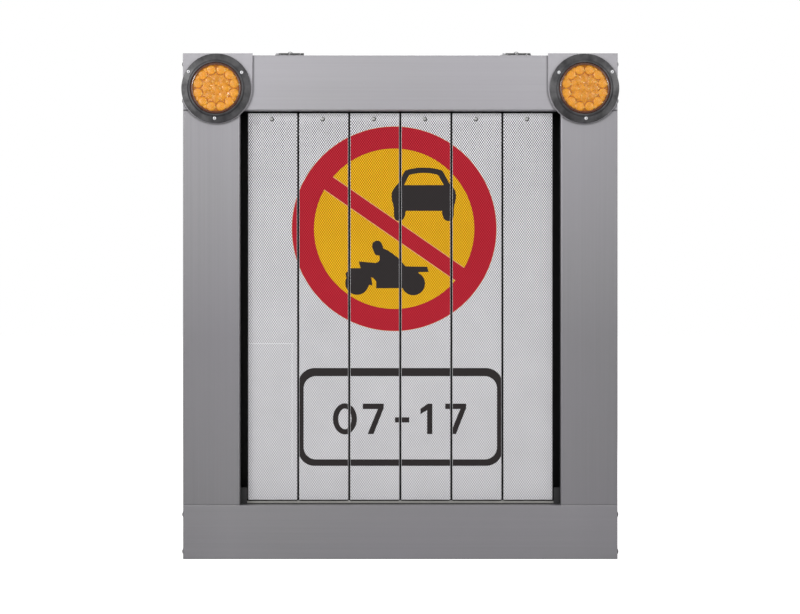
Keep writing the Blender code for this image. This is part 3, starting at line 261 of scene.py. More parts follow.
def moulded(name, colour, roughness, mottle=0.08, grain_size=900):
    """Moulded plastic or rubber: a fine grain and slow changes of tone."""
    material, shader = surface(name, colour, roughness)
    fine = grain(material, (grain_size,) * 3, detail=2.0)
    slow = grain(material, (45, 45, 45), detail=4.0)
    tone = varied(material, slow, colour, 1 - mottle, 1 + mottle)
    feed(material, shader, "Base Color", tone)
    dullness = spread(material, slow, roughness - 0.05, roughness + 0.07)
    feed(material, shader, "Roughness", dullness)
    bump(material, shader, fine, 0.00005, 0.5)
    return material


def cell_pattern(material):
    """The film's lens cells, on the sheet's own map in metres: 1 on a cell and 0 between.

    Painted light: the cells show more strongly towards the sheet's upper end, and the film's tone
    changes with height.
    """
    sheet = add_node(material, "ShaderNodeUVMap", uv_map="sheet").outputs["UV"]
    across, height, _ = add_node(material, "ShaderNodeSeparateXYZ", {0: sheet}).outputs
    waves = []
    for place, period in ((across, cell_width), (height, cell_height)):
        turns = calculate(material, "MULTIPLY", place, 2 * pi / period)
        waves.append(calculate(material, "COSINE", turns))
    product = calculate(material, "MULTIPLY", *waves)
    cells = spread(material, product, -1, 1, -0.3, 0.3)
    # Painted light: the cells' contrast grows and the mean tone drops towards the upper end
    depth = spread(material, height, 0.19, 0.52, cells_low_end, prism_high.z)
    tone_and_painted_light = spread(material, height, 0.575, 0.49, cells_low_end, prism_high.z)
    # Painted light: a lighter band along the top edge makes up for the top beam's shade
    upper = spread(material, height, 0, 0.32, prism_high.z - 0.020, prism_high.z)
    tone_and_painted_light = calculate(material, "ADD", tone_and_painted_light, upper)
    return calculate(material, "MULTIPLY_ADD", cells, depth, tone_and_painted_light)


def film_ink(name, light, dark, roughness=0.42):
    """Reflective film in one colour, with its cells showing through the ink."""
    material, shader = surface(name, light, roughness, Specular_IOR_Level=0.12)
    cells = cell_pattern(material)
    tone = blend_colours(material, cells, dark, light)
    clouds = grain(material, (9, 9, 9), detail=3.0)
    worn = blend_colours(material, spread(material, clouds, 0, 0.10), tone, dark)
    feed(material, shader, "Base Color", worn)
    bump(material, shader, cells, 0.00004, 0.25)
    return material


def dull_metal(name):
    """Steel that has lost its shine."""
    return bare_metal(name, (0.085, 0.083, 0.085), (240, 240, 240), 0.5, 0.25, 0.25)


# Finishes
paint = (0.388, 0.381, 0.398)
# Painted light: the posts get a darker copy of the beams' paint, and the lamp plates a lighter one
upright_shaded_paint = coated_metal("paint_drawn_upright", shaded(paint, 0.86), (260, 260, 1.6))
level_paint = coated_metal("paint_drawn_level", paint, (1.6, 260, 260))
plate_lit_paint = coated_metal("paint_on_plates", shaded(paint, 1.03), (90, 90, 90), 0.42)
block_coat = moulded("dark_deck_coat", (0.015, 0.015, 0.016), 0.55)
drawn_upright = bare_metal("aluminium_drawn_upright", (0.52, 0.52, 0.53), (500, 500, 3), 0.42)
drawn_level = bare_metal("aluminium_drawn_level", (0.66, 0.66, 0.67), (3, 500, 500), 0.34)
zinc = bare_metal("zinc_plate", (0.50, 0.50, 0.49), (180, 180, 180), 0.36, 0.18)
worn_zinc = bare_metal("worn_zinc", (0.47, 0.47, 0.46), (300, 300, 300), 0.34, 0.3, 0.6)
bright_zinc = bare_metal("bright_zinc", (0.84, 0.84, 0.86), (300, 300, 300), 0.26, 0.15, 0.3)
dark_steel = bare_metal("darkened_steel", (0.14, 0.14, 0.15), (220, 220, 220), 0.42, 0.2)
dull_steel = dull_metal("dull_steel")
stainless = bare_metal("stainless_screws", (0.80, 0.80, 0.80), (700, 700, 700), 0.2, 0.06)
recess_black = moulded("screw_recess", (0.03, 0.03, 0.03), 0.6)
acetal = moulded("pale_acetal", (0.50, 0.505, 0.49), 0.42)
strip_acetal = moulded("strip_acetal", (0.31, 0.305, 0.285), 0.5)
nylon = moulded("black_nylon", (0.018, 0.018, 0.019), 0.52)
# Painted highlight: the light grey strip in the joints above the bottom beam
joint_highlight_grey = moulded("joint_highlight_grey", (0.30, 0.295, 0.305), 0.5)
rubber = moulded("seal_foam", (0.018, 0.018, 0.018), 0.85, 0.15, 600)
box_plastic = moulded("control_box", (0.36, 0.37, 0.38), 0.5)
motor_coat = bare_metal("motor_can", (0.30, 0.30, 0.31), (8, 300, 300), 0.38, 0.1)
copper = bare_metal("terminal_tabs", (0.75, 0.55, 0.30), (300, 300, 300), 0.3)
red_wire = moulded("red_lead", (0.42, 0.02, 0.02), 0.4)
black_wire = moulded("black_lead", (0.02, 0.02, 0.02), 0.4)


def body_coat():
    """The cabinet's grey coat outside, and black inside."""
    metallic = 0.35
    black_inside = (0.016, 0.015, 0.017)
    material = coated_metal("cabinet_coat", shaded(paint, 0.9), (120, 120, 2), 0.42, metallic)
    shader = material.node_tree.nodes["Principled BSDF"]
    outside = shader.inputs["Base Color"].links[0].from_socket
    across, depth, height = own_axes(material)
    skin = 0.001
    low_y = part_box("cabinet_body")[0].y + skin
    outward = calculate(material, "ABSOLUTE", across)
    inside_x = calculate(material, "LESS_THAN", outward, cabinet_half - skin)
    off_middle = distance_from(material, height, cabinet_top / 2)
    inside_z = calculate(material, "LESS_THAN", off_middle, cabinet_top / 2 - skin)
    before_back = calculate(material, "LESS_THAN", depth, cabinet_rear - skin)
    behind_lip = calculate(material, "GREATER_THAN", depth, low_y)
    flat = calculate(material, "MULTIPLY", inside_x, inside_z)
    deep = calculate(material, "MULTIPLY", before_back, behind_lip)
    inside = calculate(material, "MULTIPLY", flat, deep)
    tone = blend_colours(material, inside, outside, black_inside)
    feed(material, shader, "Base Color", tone)
    flakes = calculate(material, "MULTIPLY_ADD", inside, -metallic, metallic)
    feed(material, shader, "Metallic", flakes)
    return material


cabinet_coat = body_coat()


def hinge_steel(side):
    """Dull hinge steel, with painted highlights on the barrel at the knuckles' ends."""
    knuckle_joints = ((0.003, 0.0026), (0.026, 0.0002), (0.048, 0.0002))
    barrel_z, barrel_half = cabinet_top + 0.0052, 0.0030
    # Colour of the painted highlights at the knuckle joints
    bright = (0.62, 0.62, 0.64)
    material = dull_metal(f"{side}_hinge_steel")
    shader = material.node_tree.nodes["Principled BSDF"]
    dull = shader.inputs["Base Color"].links[0].from_socket
    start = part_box(f"{side}_hinge_frame_leaf")[0].x
    across, _, height = own_axes(material)
    worn = 0.0
    for joint, half in knuckle_joints:
        apart = distance_from(material, across, start + joint)
        end = spread(material, apart, 1, 0, half, half + 0.0006)
        worn = calculate(material, "ADD", worn, end)
    off = distance_from(material, height, barrel_z)
    on_barrel = calculate(material, "LESS_THAN", off, barrel_half)
    worn = calculate(material, "MULTIPLY", worn, on_barrel)
    feed(material, shader, "Base Color", blend_colours(material, worn, dull, bright))
    return material


def patchy_plastic():
    """The lamps' dark plastic, dulled in patches where road grease lies on it."""
    material = moulded("lamp_housing", (0.036, 0.035, 0.038), 0.36, 0.35)
    shader = material.node_tree.nodes["Principled BSDF"]
    patches = grain(material, (42, 42, 42), detail=4.0, roughness=0.6)
    feed(material, shader, "Specular IOR Level", spread(material, patches, 0.72, 0.22, 0.36, 0.62))
    return material


lamp_plastic = patchy_plastic()


def amber_cover(name, colour, opacity, shine):
    """The lamp's amber cover: clear in the middle; at its steep edge a dark, nearly opaque copy is
    used, painted shade where the dark wall behind shows through.
    """
    material, shader = surface(name, colour, 0.08, Alpha=opacity, Specular_IOR_Level=shine)
    slow = grain(material, (60, 60, 60), detail=2.0)
    tone = blend_colours(material, slow, shaded(colour, 1.06), shaded(colour, 0.9))
    feed(material, shader, "Base Color", tone)
    fine = grain(material, (300, 300, 300), detail=1.0)
    bump(material, shader, fine, 0.00002, 0.3)
    return material


def optic_amber(name, colour, roughness=0.22, facets=0.0):
    """Amber plastic of the lamp's optics; with facets, each small facet gets a lighter or darker
    tone, painted light for facets that catch the light differently.
    """
    material, shader = surface(name, colour, roughness, Coat_Weight=0.25, Coat_Roughness=0.08)
    slow = grain(material, (110, 110, 110), detail=3.0)
    tone = varied(material, slow, colour, 0.88, 1.10)
    # Painted light: a lighter or darker tone for each small facet
    if facets:
        inputs = {"Vector": own_place(material), "Scale": 210.0}
        cells = add_node(material, "ShaderNodeTexVoronoi", inputs)
        pick = add_node(material, "ShaderNodeSeparateColor", {0: cells.outputs["Color"]})
        darker, lighter = shaded(colour, 1 - facets), shaded(colour, 1 + facets)
        patch = blend_colours(material, pick.outputs[0], darker, lighter)
        tone = blend_colours(material, 0.7, tone, patch)
    feed(material, shader, "Base Color", tone)
    bump(material, shader, slow, 0.0006, 0.4)
    return material


lens_amber = amber_cover("amber_cover", (0.85, 0.30, 0.03), 0.14, 0.15)
# Painted shade: the cover's edge ring is dark and nearly opaque
shaded_edge_amber = amber_cover("amber_cover_edge_painted_shade", (0.125, 0.036, 0.014), 0.85, 0.6)
bright_amber = optic_amber("bright_optics", (0.97, 0.46, 0.036))
# The inner optics carry painted light on their facets
inner_amber = optic_amber("inner_optics", (0.86, 0.38, 0.028), 0.16, 0.35)
# Painted highlight: the pale glints at the right of each optic
glint_amber = optic_amber("painted_optic_glints", (1.0, 0.74, 0.20), 0.16)
# Deep amber of the optics' outer face, also the painted shade crescents on the optics
deep_amber_and_shade = optic_amber("optic_walls_and_painted_shade", (0.34, 0.095, 0.006), 0.4)
rim_brown = optic_amber("lamp_rim", (0.065, 0.028, 0.023), 0.4)

film_white = film_ink("film_white", (0.98, 0.97, 1.0), (0.12, 0.12, 0.13))
film_yellow = film_ink("film_yellow", (1.0, 0.62, 0.012), (0.36, 0.10, 0.001))
film_red = film_ink("film_red", (0.58, 0.022, 0.045), (0.25, 0.002, 0.007))
film_black = film_ink("film_black", (0.028, 0.0225, 0.023), (0.019, 0.0165, 0.017), 0.45)
film_edge = film_ink("film_cut_edge", (0.80, 0.42, 0.20), (0.70, 0.34, 0.15))
splice_white = film_ink("film_splice", (0.86, 0.86, 0.88), (0.80, 0.80, 0.82))


def finish_piece(name, work, materials, body, smooth_angle=None, tidy=True, place=None):
    """Turn a bmesh into a named piece that rides on a body."""
    if place:
        bmesh.ops.transform(work, matrix=place, verts=work.verts)
    if tidy:
        bmesh.ops.remove_doubles(work, verts=work.verts, dist=1e-6)
        bmesh.ops.recalc_face_normals(work, faces=work.faces)
    mesh = bpy.data.meshes.new(name)
    work.to_mesh(mesh)
    work.free()
    for material in materials if isinstance(materials, (list, tuple)) else [materials]:
        mesh.materials.append(material)
    if smooth_angle:
        mesh.shade_smooth()
        mesh.set_sharp_from_angle(angle=radians(smooth_angle))
    piece = bpy.data.objects.new(name, mesh)
    scene.collection.objects.link(piece)
    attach(piece, body)
    return piece


def block(work, low, high, edge=0.0, material_index=0):
    """Add a block between two corners, with rounded edges."""
    made = bmesh.ops.create_cube(work, size=1.0)["verts"]
    size = [b - a for a, b in zip(low, high)]
    bmesh.ops.scale(work, verts=made, vec=size)
    bmesh.ops.translate(work, verts=made, vec=[(a + b) / 2 for a, b in zip(low, high)])
    faces = {face for vert in made for face in vert.link_faces}
    for face in faces:
        face.material_index = material_index
    if edge > 0:
        edges = list({side for vert in made for side in vert.link_edges})
        bmesh.ops.bevel(
            work, geom=edges, offset=edge, affect="EDGES", segments=2, profile=0.5, material=-1
        )


def turned(work, profile, steps=48, place=Matrix.Identity(4), material_index=0):
    """Add a shape turned round its Z axis from (radius, height) points."""
    points = [work.verts.new((radius, 0, height)) for radius, height in profile]
    edges = [work.edges.new(pair) for pair in zip(points, points[1:])]
    before = set(work.faces)
    bmesh.ops.spin(
        work, geom=points + edges, cent=(0, 0, 0), axis=(0, 0, 1), angle=2 * pi, steps=steps,
        use_merge=True,
    )
    faces = [face for face in work.faces if face not in before]
    made = list({vert for face in faces for vert in face.verts})
    for face in faces:
        face.material_index = material_index
    bmesh.ops.transform(work, matrix=place, verts=made)


def added_since(work, before):
    """The points that a mesh has gained."""
    return [vert for vert in work.verts if vert not in before]


def facing_front(x, y, z):
    """A place from which a turned shape points out of the sign's front."""
    return Matrix.Translation((x, y, z)) @ Matrix.Rotation(pi / 2, 4, "X")


def facing_back(x, y, z):
    """A place from which a turned shape points out of the sign's back."""
    return Matrix.Translation((x, y, z)) @ Matrix.Rotation(-pi / 2, 4, "X")


def facing_side(x, y, z, hand):
    """A place from which a turned shape points out of the sign's left or right side."""
    return Matrix.Translation((x, y, z)) @ Matrix.Rotation(hand * pi / 2, 4, "Y")


def facing_up(x, y, z):
    """A place from which a turned shape points up."""
    return Matrix.Translation((x, y, z))


def near_corners(node, in_x, in_y, height):
    """Four places for screws that face up, in from a node's corners."""
    low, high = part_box(node)
    return [
        facing_up(x, y, height)
        for x in (low.x + in_x, high.x - in_x)
        for y in (low.y + in_y, high.y - in_y)
    ]


def screw_head(work, radius, height, place, recess="hex"):
    """Add a domed screw head, with a dark hexagon or cross let into its top.

    A rivet's head has neither: its hexagon stays hidden inside the dome.
    """
    flat, edge_share, slant, steps = radius * 0.46, 0.25, 0.4, 5
    dome = [(radius, 0)]
    for step in range(1, steps):
        angle = pi / 2 * step / steps
        rise = edge_share + (1 - edge_share) * sin(angle)
        dome.append((radius * cos(angle), height * rise))
    dome.append((flat, height))
    if recess == "hex":
        dome += [(flat * 0.98, height * 0.55), (0, height * 0.5)]
    else:
        dome.append((0, height))
    turned(work, dome, 24, place)
    if recess == "cross":
        reach, half_slot = flat * 1.05, radius * 0.09
        low, high = (-reach, -half_slot, height * 0.8), (reach, half_slot, height * 1.02)
        for turn in (0, pi / 2):
            before = set(work.verts)
            block(work, low, high, material_index=1)
            local = place @ Matrix.Rotation(turn + slant, 4, "Z")
            bmesh.ops.transform(work, matrix=local, verts=added_since(work, before))
    else:
        before = set(work.verts)
        bmesh.ops.create_circle(work, cap_ends=True, segments=6, radius=flat * 0.96)
        made = added_since(work, before)
        for face in {face for vert in made for face in vert.link_faces}:
            face.material_index = 1
        sunk = place @ Matrix.Translation((0, 0, height * 0.62))
        bmesh.ops.transform(work, matrix=sunk, verts=made)


def screws(name, body, places, head, recess="hex", metal=None, shadow_ring=0):
    """A set of equal screws as one piece, each with a dark ring a little off centre as a painted
    shadow at its lower right, or none.
    """
    work = bmesh.new()
    for place in places:
        screw_head(work, *head, place, recess)
        # Painted shadow: a dark ring under the head, shifted to its lower right
        if shadow_ring:
            off = shadow_ring * 0.16
            shadow_place = place @ Matrix.Translation((off, -off, 0))
            rim = [(shadow_ring, 0), (shadow_ring, shadow_ring_height), (0, shadow_ring_height)]
            turned(work, rim, 24, shadow_place, 1)
    metals = [metal or stainless, recess_black]
    finish_piece(name, work, metals, body, smooth_angle=40, tidy=False)


def outline_shape(points, inner=None):
    """A flat shape in the sheet's plane, facing the reader, from its outline in metres."""
    curve = bpy.data.curves.new("outline", "CURVE")
    curve.dimensions = "2D"
    curve.fill_mode = "BOTH"
    for ring in [points] + ([inner] if inner else []):
        spline = curve.splines.new("POLY")
        spline.points.add(len(ring) - 1)
        for point, (x, z) in zip(spline.points, ring):
            point.co = (x, z, 0, 1)
        spline.use_cyclic_u = True
    guide = bpy.data.objects.new("outline", curve)
    scene.collection.objects.link(guide)
    bpy.context.view_layer.update()
    shape = bmesh.new()
    evaluated = guide.evaluated_get(bpy.context.evaluated_depsgraph_get())
    shape.from_mesh(bpy.data.meshes.new_from_object(evaluated))
    bpy.data.objects.remove(guide)
    bmesh.ops.remove_doubles(shape, verts=shape.verts, dist=1e-6)
    stand_up(shape)
    return shape


def stand_up(shape):
    """Turn a flat shape up into the sheet's plane, with its faces towards the reader."""
    upright = Matrix.Rotation(pi / 2, 3, "X")
    bmesh.ops.rotate(shape, verts=shape.verts, cent=(0, 0, 0), matrix=upright)
    for face in shape.faces:
        face.normal_update()
        if face.normal.y > 0:
            face.normal_flip()


def disc_shape(x, z, radius, hole=0.0, steps=144):
    """A disc, or a ring, in the sheet's plane."""
    shape = bmesh.new()
    bmesh.ops.create_circle(shape, cap_ends=hole == 0, segments=steps, radius=radius)
    if hole:
        bmesh.ops.create_circle(shape, cap_ends=False, segments=steps, radius=hole)
        bmesh.ops.bridge_loops(shape, edges=shape.edges[:])
    bmesh.ops.translate(shape, verts=shape.verts, vec=(x, z, 0))
    stand_up(shape)
    return shape


def bar_shape(x, z, length, width, angle=0.0):
    """A straight bar in the sheet's plane."""
    shape = bmesh.new()
    bmesh.ops.create_grid(shape, x_segments=1, y_segments=1, size=0.5)
    bmesh.ops.scale(shape, verts=shape.verts, vec=(length, width, 1))
    turn = Matrix.Rotation(angle, 3, "Z")
    bmesh.ops.rotate(shape, verts=shape.verts, cent=(0, 0, 0), matrix=turn)
    bmesh.ops.translate(shape, verts=shape.verts, vec=(x, z, 0))
    stand_up(shape)
    return shape


def rounded_outline(low_x, low_z, high_x, high_z, corner, steps=10):
    """The outline of a rectangle with round corners."""
    centres = (
        (high_x - corner, high_z - corner),
        (low_x + corner, high_z - corner),
        (low_x + corner, low_z + corner),
        (high_x - corner, low_z + corner),
    )
    points = []
    for quarter, (x, z) in enumerate(centres):
        for step in range(steps + 1):
            angle = pi / 2 * (quarter + step / steps)
            points.append((x + corner * cos(angle), z + corner * sin(angle)))
    return points


def mirrored(half):
    """A closed outline from its right half."""
    return half + [(-x, z) for x, z in reversed(half) if abs(x) > 1e-6]


def millimetres(points, x=0.0, z=0.0):
    """Points drawn in millimetres, moved to their place in metres."""
    return [(x + a / 1000, z + b / 1000) for a, b in points]


# The sign image, drawn on the sheet that all six front faces make together
ring_x, ring_z = -0.012, 0.6438
ring_radius = 0.200
field_radius = 0.157
slash_width = 0.0295
slash_length = 2 * field_radius + 0.01
slash_angle = radians(-34.7)
car_x = 0.046
rider_x, rider_z = -0.12205, 0.6338
rider_scale = 0.12244 / 1000
wheels = ((305, 786, 0.0231), (1205, 795, 0.0229))
hours_half_width, hours_bottom, hours_top = 0.200, 0.1795, 0.3711
hours_side_margin, hours_low_margin, hours_high_margin = 0.01065, 0.0127, 0.0159
digits_bottom, digits_top, dash_width, dash_length = 0.2418, 0.3013, 0.0102, 0.028

# Joins in the first strip's film: place across and up, and width across and up
splices = ((0.0455, 0.4188, 0.088, 0.0009), (0.0855, 0.2960, 0.0007, 0.245))


def car_outline():
    """A car seen from the front, and its windscreen."""
    half = [
        (0, 763.6), (12, 763.2), (27, 760.8), (36, 757.8), (40, 751.8), (45, 741.8),
        (49.5, 733.4), (54, 728.6), (58.5, 722.8), (62, 716.8), (63.3, 708.8), (62.5, 699.8),
        (60, 690.8), (58.6, 683.8), (58.5, 668.8), (56.4, 662.4), (52.5, 659.6), (48, 658.8),
        (43, 660), (39, 664), (36.5, 670.8), (35.5, 678.8),
    ]
    screen = [(0, 753.3), (12, 752.6), (26, 750.0), (29.5, 747.4), (39, 729.3)]
    return mirrored(half), mirrored(screen)


def on_rider(a, b):
    """A place in the rider's own grid, which runs right and down from its corner."""
    return rider_x + rider_scale * a, rider_z - rider_scale * b


def rider_outline():
    """A motorcycle and its rider from the side. The wheels are discs of their own."""
    grid = [
        (122, 632), (165, 592), (205, 548), (360, 548), (333, 440), (600, 465), (642, 450),
        (664, 420), (668, 395), (664, 355), (655, 343), (628, 345), (602, 334), (583, 306),
        (566, 265), (548, 222), (547, 170), (562, 137), (592, 115), (632, 108), (670, 117),
        (698, 145), (714, 190), (722, 225), (735, 238), (800, 265), (880, 320), (950, 375),
        (1015, 440), (1080, 520), (1425, 525), (1452, 608), (1290, 612), (1290, 700),
        (1040, 868), (610, 870), (612, 765), (592, 735), (560, 705), (525, 695), (540, 735),
        (550, 830), (505, 812), (470, 850), (300, 900), (160, 800), (122, 650),
    ]
    return [on_rider(a, b) for a, b in grid]


def sign_layers():
    """Every printed shape of the sign image: its mesh, its ink and its level."""
    yellow, red, black, edge, splice = range(1, 6)
    layers = [
        (disc_shape(ring_x, ring_z, ring_radius + 0.0006, field_radius - 0.0012), edge, 1),
        (disc_shape(ring_x, ring_z, field_radius), yellow, 2),
        (disc_shape(ring_x, ring_z, ring_radius, field_radius), red, 7),
        (bar_shape(ring_x, ring_z, slash_length, slash_width + 0.0024, slash_angle), edge, 5),
        (bar_shape(ring_x, ring_z, slash_length, slash_width, slash_angle), red, 6),
    ]
    body, screen = car_outline()
    car = outline_shape(millimetres(body, car_x), millimetres(screen, car_x))
    layers.append((car, black, 3))
    layers.append((outline_shape(rider_outline()), black, 3))
    for a, b, radius in wheels:
        layers.append((disc_shape(*on_rider(a, b), radius, steps=64), black, 4))
    layers.append((hours_border(), black, 2))
    layers += number_shapes(black)
    left = prism_x[1] - film_width / 2
    for x, z, across, up in splices:
        layers.append((bar_shape(left + x, z, across, up), splice, 1))
    return layers


def hours_border():
    """The black border of the lower plate."""
    side = hours_half_width - hours_side_margin
    low, high = hours_bottom + hours_low_margin, hours_top - hours_high_margin
    outer = rounded_outline(-hours_half_width, hours_bottom, hours_half_width, hours_top, 0.032)
    return outline_shape(outer, rounded_outline(-side, low, side, high, 0.024))


def number_shapes(ink):
    """The plain hours on the lower plate: 07-17."""
    zero_x, first_seven_x, dash_x, one_x, last_seven_x = -0.1085, -0.0530, 0.0035, 0.0555, 0.1085
    middle = (digits_bottom + digits_top) / 2
    zero = [
        [(zero_x + wide * cos(a), middle + tall * sin(a)) for a in round_steps(40)]
        for wide, tall in ((0.0235, 0.0305), (0.0130, 0.0202))
    ]
    seven = [(-20.5, 59.5), (20.5, 59.5), (20.5, 51), (0.5, 0), (-11, 0), (9, 49), (-20.5, 49)]
    one = [(-3, 0), (7.2, 0), (7.2, 59.5), (-1.5, 59.5), (-16, 49.5), (-16, 39), (-3, 46.8)]
    shapes = [
        outline_shape(*zero),
        outline_shape(millimetres(seven, first_seven_x, digits_bottom)),
        outline_shape(millimetres(seven, last_seven_x, digits_bottom)),
        bar_shape(dash_x, middle - 0.002, dash_length, dash_width),
        outline_shape(millimetres(one, one_x, digits_bottom)),
    ]
    return [(shape, ink, 2) for shape in shapes]


def round_steps(steps):
    """Equal angles round a circle."""
    return [2 * pi * step / steps for step in range(steps)]


def map_sheet(work):
    """Give a sheet its own map, in metres across and up."""
    layer = work.loops.layers.uv.new("sheet")
    for face in work.faces:
        for loop in face.loops:
            loop[layer].uv = (loop.vert.co.x, loop.vert.co.z)


def trim_to_sheet(mesh, low_x, high_x):
    """The part of a printed shape that lies on one prism's sheet."""
    part = bmesh.new()
    part.from_mesh(mesh)
    for edge_x, outward in ((low_x, -1), (high_x, 1)):
        cut_away(part, (edge_x, 0, 0), (outward, 0, 0))
    return part


def build_films():
    """Three sheets of film on each prism. The front one carries its strip of the sign image."""
    layers = []
    for shape, ink, level in sign_layers():
        mesh = bpy.data.meshes.new("print_shape")
        shape.to_mesh(mesh)
        shape.free()
        layers.append((mesh, ink, level))
    inks = [film_white, film_yellow, film_red, film_black, film_edge, splice_white]
    back = prism_face_y - 0.00003
    for number in prism_numbers:
        x = prism_x[number]
        low_x, high_x = x - film_width / 2, x + film_width / 2
        low_z, high_z = prism_low.z + 0.0005, prism_high.z - 0.0005
        for face_number, side in enumerate(("front", "right", "left")):
            work = bmesh.new()
            block(work, (low_x, back - film_thickness, low_z), (high_x, back, high_z))
            if side == "front":
                for mesh, ink, level in layers:
                    part = trim_to_sheet(mesh, low_x, high_x)
                    height = back - film_thickness - print_lift * level
                    bmesh.ops.translate(part, verts=part.verts, vec=(0, height, 0))
                    for face in part.faces:
                        face.material_index = ink
                    cut = bpy.data.meshes.new("print_part")
                    part.to_mesh(cut)
                    part.free()
                    work.from_mesh(cut)
                    bpy.data.meshes.remove(cut)
            map_sheet(work)
            turn = Matrix.Rotation(radians(120 * face_number), 3, "Z")
            bmesh.ops.rotate(work, verts=work.verts, cent=(x, prism_axis_y, 0), matrix=turn)
            materials = inks if side == "front" else [film_white]
            name, body = f"prism_{number}_{side}_film", f"prism_{number}"
            finish_piece(name, work, materials, body, tidy=False)


def build_prism_screws():
    """The screw near the top of each face, through the film into the upper cap."""
    for number in prism_numbers:
        places = []
        for face_number in range(3):
            on_film = prism_face_y - film_thickness - 0.0001
            at_front = facing_front(prism_x[number] + face_screw_x, on_film, face_screw_z)
            axis = Matrix.Translation((prism_x[number], prism_axis_y, 0))
            turn = axis @ Matrix.Rotation(radians(120 * face_number), 4, "Z") @ axis.inverted()
            places.append(turn @ at_front)
        name, body = f"prism_{number}_face_screws", f"prism_{number}"
        screws(name, body, places, face_head, "none", worn_zinc, face_screw_shadow_ring)


def build_corner_plates():
    """The painted plates that carry the lamps, round at their lower ends."""
    reach = plate_high.x + lamp_x
    side_edge = cabinet_half - lamp_x
    top_edge = plate_high.z - lamp_z
    thickness = plate_high.y - plate_low.y
    for side, hand in both_sides:
        work = bmesh.new()
        bmesh.ops.create_circle(work, cap_ends=True, segments=128, radius=reach)
        cut_away(work, (0, 0, 0), (0, 1, 0))
        straight = [edge for edge in work.edges if all(abs(v.co.y) < 1e-6 for v in edge.verts)]
        raised = bmesh.ops.extrude_edge_only(work, edges=straight)["geom"]
        top = [item for item in raised if isinstance(item, bmesh.types.BMVert)]
        bmesh.ops.translate(work, verts=top, vec=(0, top_edge - plate_lift, 0))
        bmesh.ops.translate(work, verts=work.verts, vec=(0, plate_lift, 0))
        cut_away(work, (hand * side_edge, 0, 0), (hand, 0, 0))
        bmesh.ops.dissolve_faces(work, faces=work.faces[:])
        raised = bmesh.ops.extrude_face_region(work, geom=work.faces[:])["geom"]
        front = [item for item in raised if isinstance(item, bmesh.types.BMVert)]
        bmesh.ops.translate(work, verts=front, vec=(0, 0, thickness))
        rim = [edge for edge in work.edges if all(v.co.z > thickness / 2 for v in edge.verts)]
        bmesh.ops.bevel(
            work, geom=rim, offset=0.0011, affect="EDGES", segments=3, profile=0.5, material=-1
        )
        place = facing_front(hand * lamp_x, plate_high.y, lamp_z)
        name, body = f"{side}_corner_plate", "front_frame"
        piece = finish_piece(name, work, plate_lit_paint, body, 12, place=place)
        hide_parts(f"{side}_lamp_plate")


def cut_away(work, point, outward):
    """Cut a mesh by a plane, and clear what is outside it."""
    geom = work.verts[:] + work.edges[:] + work.faces[:]
    bmesh.ops.bisect_plane(work, geom=geom, plane_co=point, plane_no=outward, clear_outer=True)


def build_lamps():
    """The two amber lamps: a dark flanged body, the optics, a clear cover and three screws."""
    housing_profile = millimetres([
        (27, -3), (30, -3), (30, 0), (66.4, 0), (67.2, 0.4), (67.5, 1.2), (67.5, 3.6),
        (67.1, 4.6), (66.2, 5), (56.5, 5.2), (55.1, 5.8), (54.3, 7), (53.7, 8.2), (52.8, 8.8),
        (51.5, 9), (50.2, 8.8), (49.6, 8), (49.4, 2.6), (27, 2.6), (27, -3),
    ])
    flange_height = 0.0050
    well_inside, well_outside, well_floor = 0.0493, 0.0506, 0.0024
    # Beyond this radius the cover takes its painted shade
    cover_edge = 0.0458
    optics_ambers = [rim_brown, inner_amber, bright_amber, deep_amber_and_shade, recess_black, glint_amber]
    body = "front_frame"
    for side, hand in both_sides:
        place = facing_front(hand * lamp_x, lamp_back, lamp_z)
        work = bmesh.new()
        turned(work, housing_profile, 128)
        for face in work.faces:
            middle = face.calc_center_median()
            if well_inside < middle.xy.length < well_outside and middle.z > well_floor:
                face.material_index = 1
        name, finishes = f"{side}_lamp_body", [lamp_plastic, rim_brown]
        housing = finish_piece(name, work, finishes, body, 38, place=place)
        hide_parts(f"{side}_lamp_housing")

        work = bmesh.new()
        lay_optics(work)
        name = f"{side}_lamp_optics"
        optics = finish_piece(name, work, optics_ambers, body, 40, False, place)
        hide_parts(f"{side}_lamp_led_board")

        work = bmesh.new()
        lay_facets(work)
        name = f"{side}_lamp_prism_disc"
        finish_piece(name, work, inner_amber, body, place=place)

        work = bmesh.new()
        turned(work, cover_profile(), 128)
        for face in work.faces:
            if face.calc_center_median().xy.length > cover_edge:
                face.material_index = 1
        name, finishes = f"{side}_lamp_cover", [lens_amber, shaded_edge_amber]
        cover = finish_piece(name, work, finishes, body, 50, place=place)
        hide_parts(f"{side}_lamp_lens")

        heads = [
            facing_front(hand * (lamp_x + x), lamp_back - flange_height, lamp_z + z)
            for x, z in lamp_screw_places
        ]
        screws(f"{side}_lamp_screws", body, heads, lamp_head, "cross", bright_zinc)


def cover_profile():
    """The amber cover's section: a low dome with a rounded edge and a wall of even thickness."""
    outer = [(0.0490, 0.0074), (0.0490, 0.0086), (0.0488, 0.0092), (0.0484, 0.0097)]
    outer += [(0.0479 * cos(a), 0.0100 + 0.0036 * sin(a) ** 1.3) for a in quarter_steps(14)]
    outer[-1] = (0.0, outer[-1][1])
    inward, wall = 0.965, 0.0016
    inner = [(radius * inward, height - wall) for radius, height in reversed(outer[4:])]
    return outer + inner + [(0.0466, 0.0074), outer[0]]


def quarter_steps(steps):
    """Equal angles over a quarter turn, without its start."""
    return [pi / 2 * step / steps for step in range(1, steps + 1)]


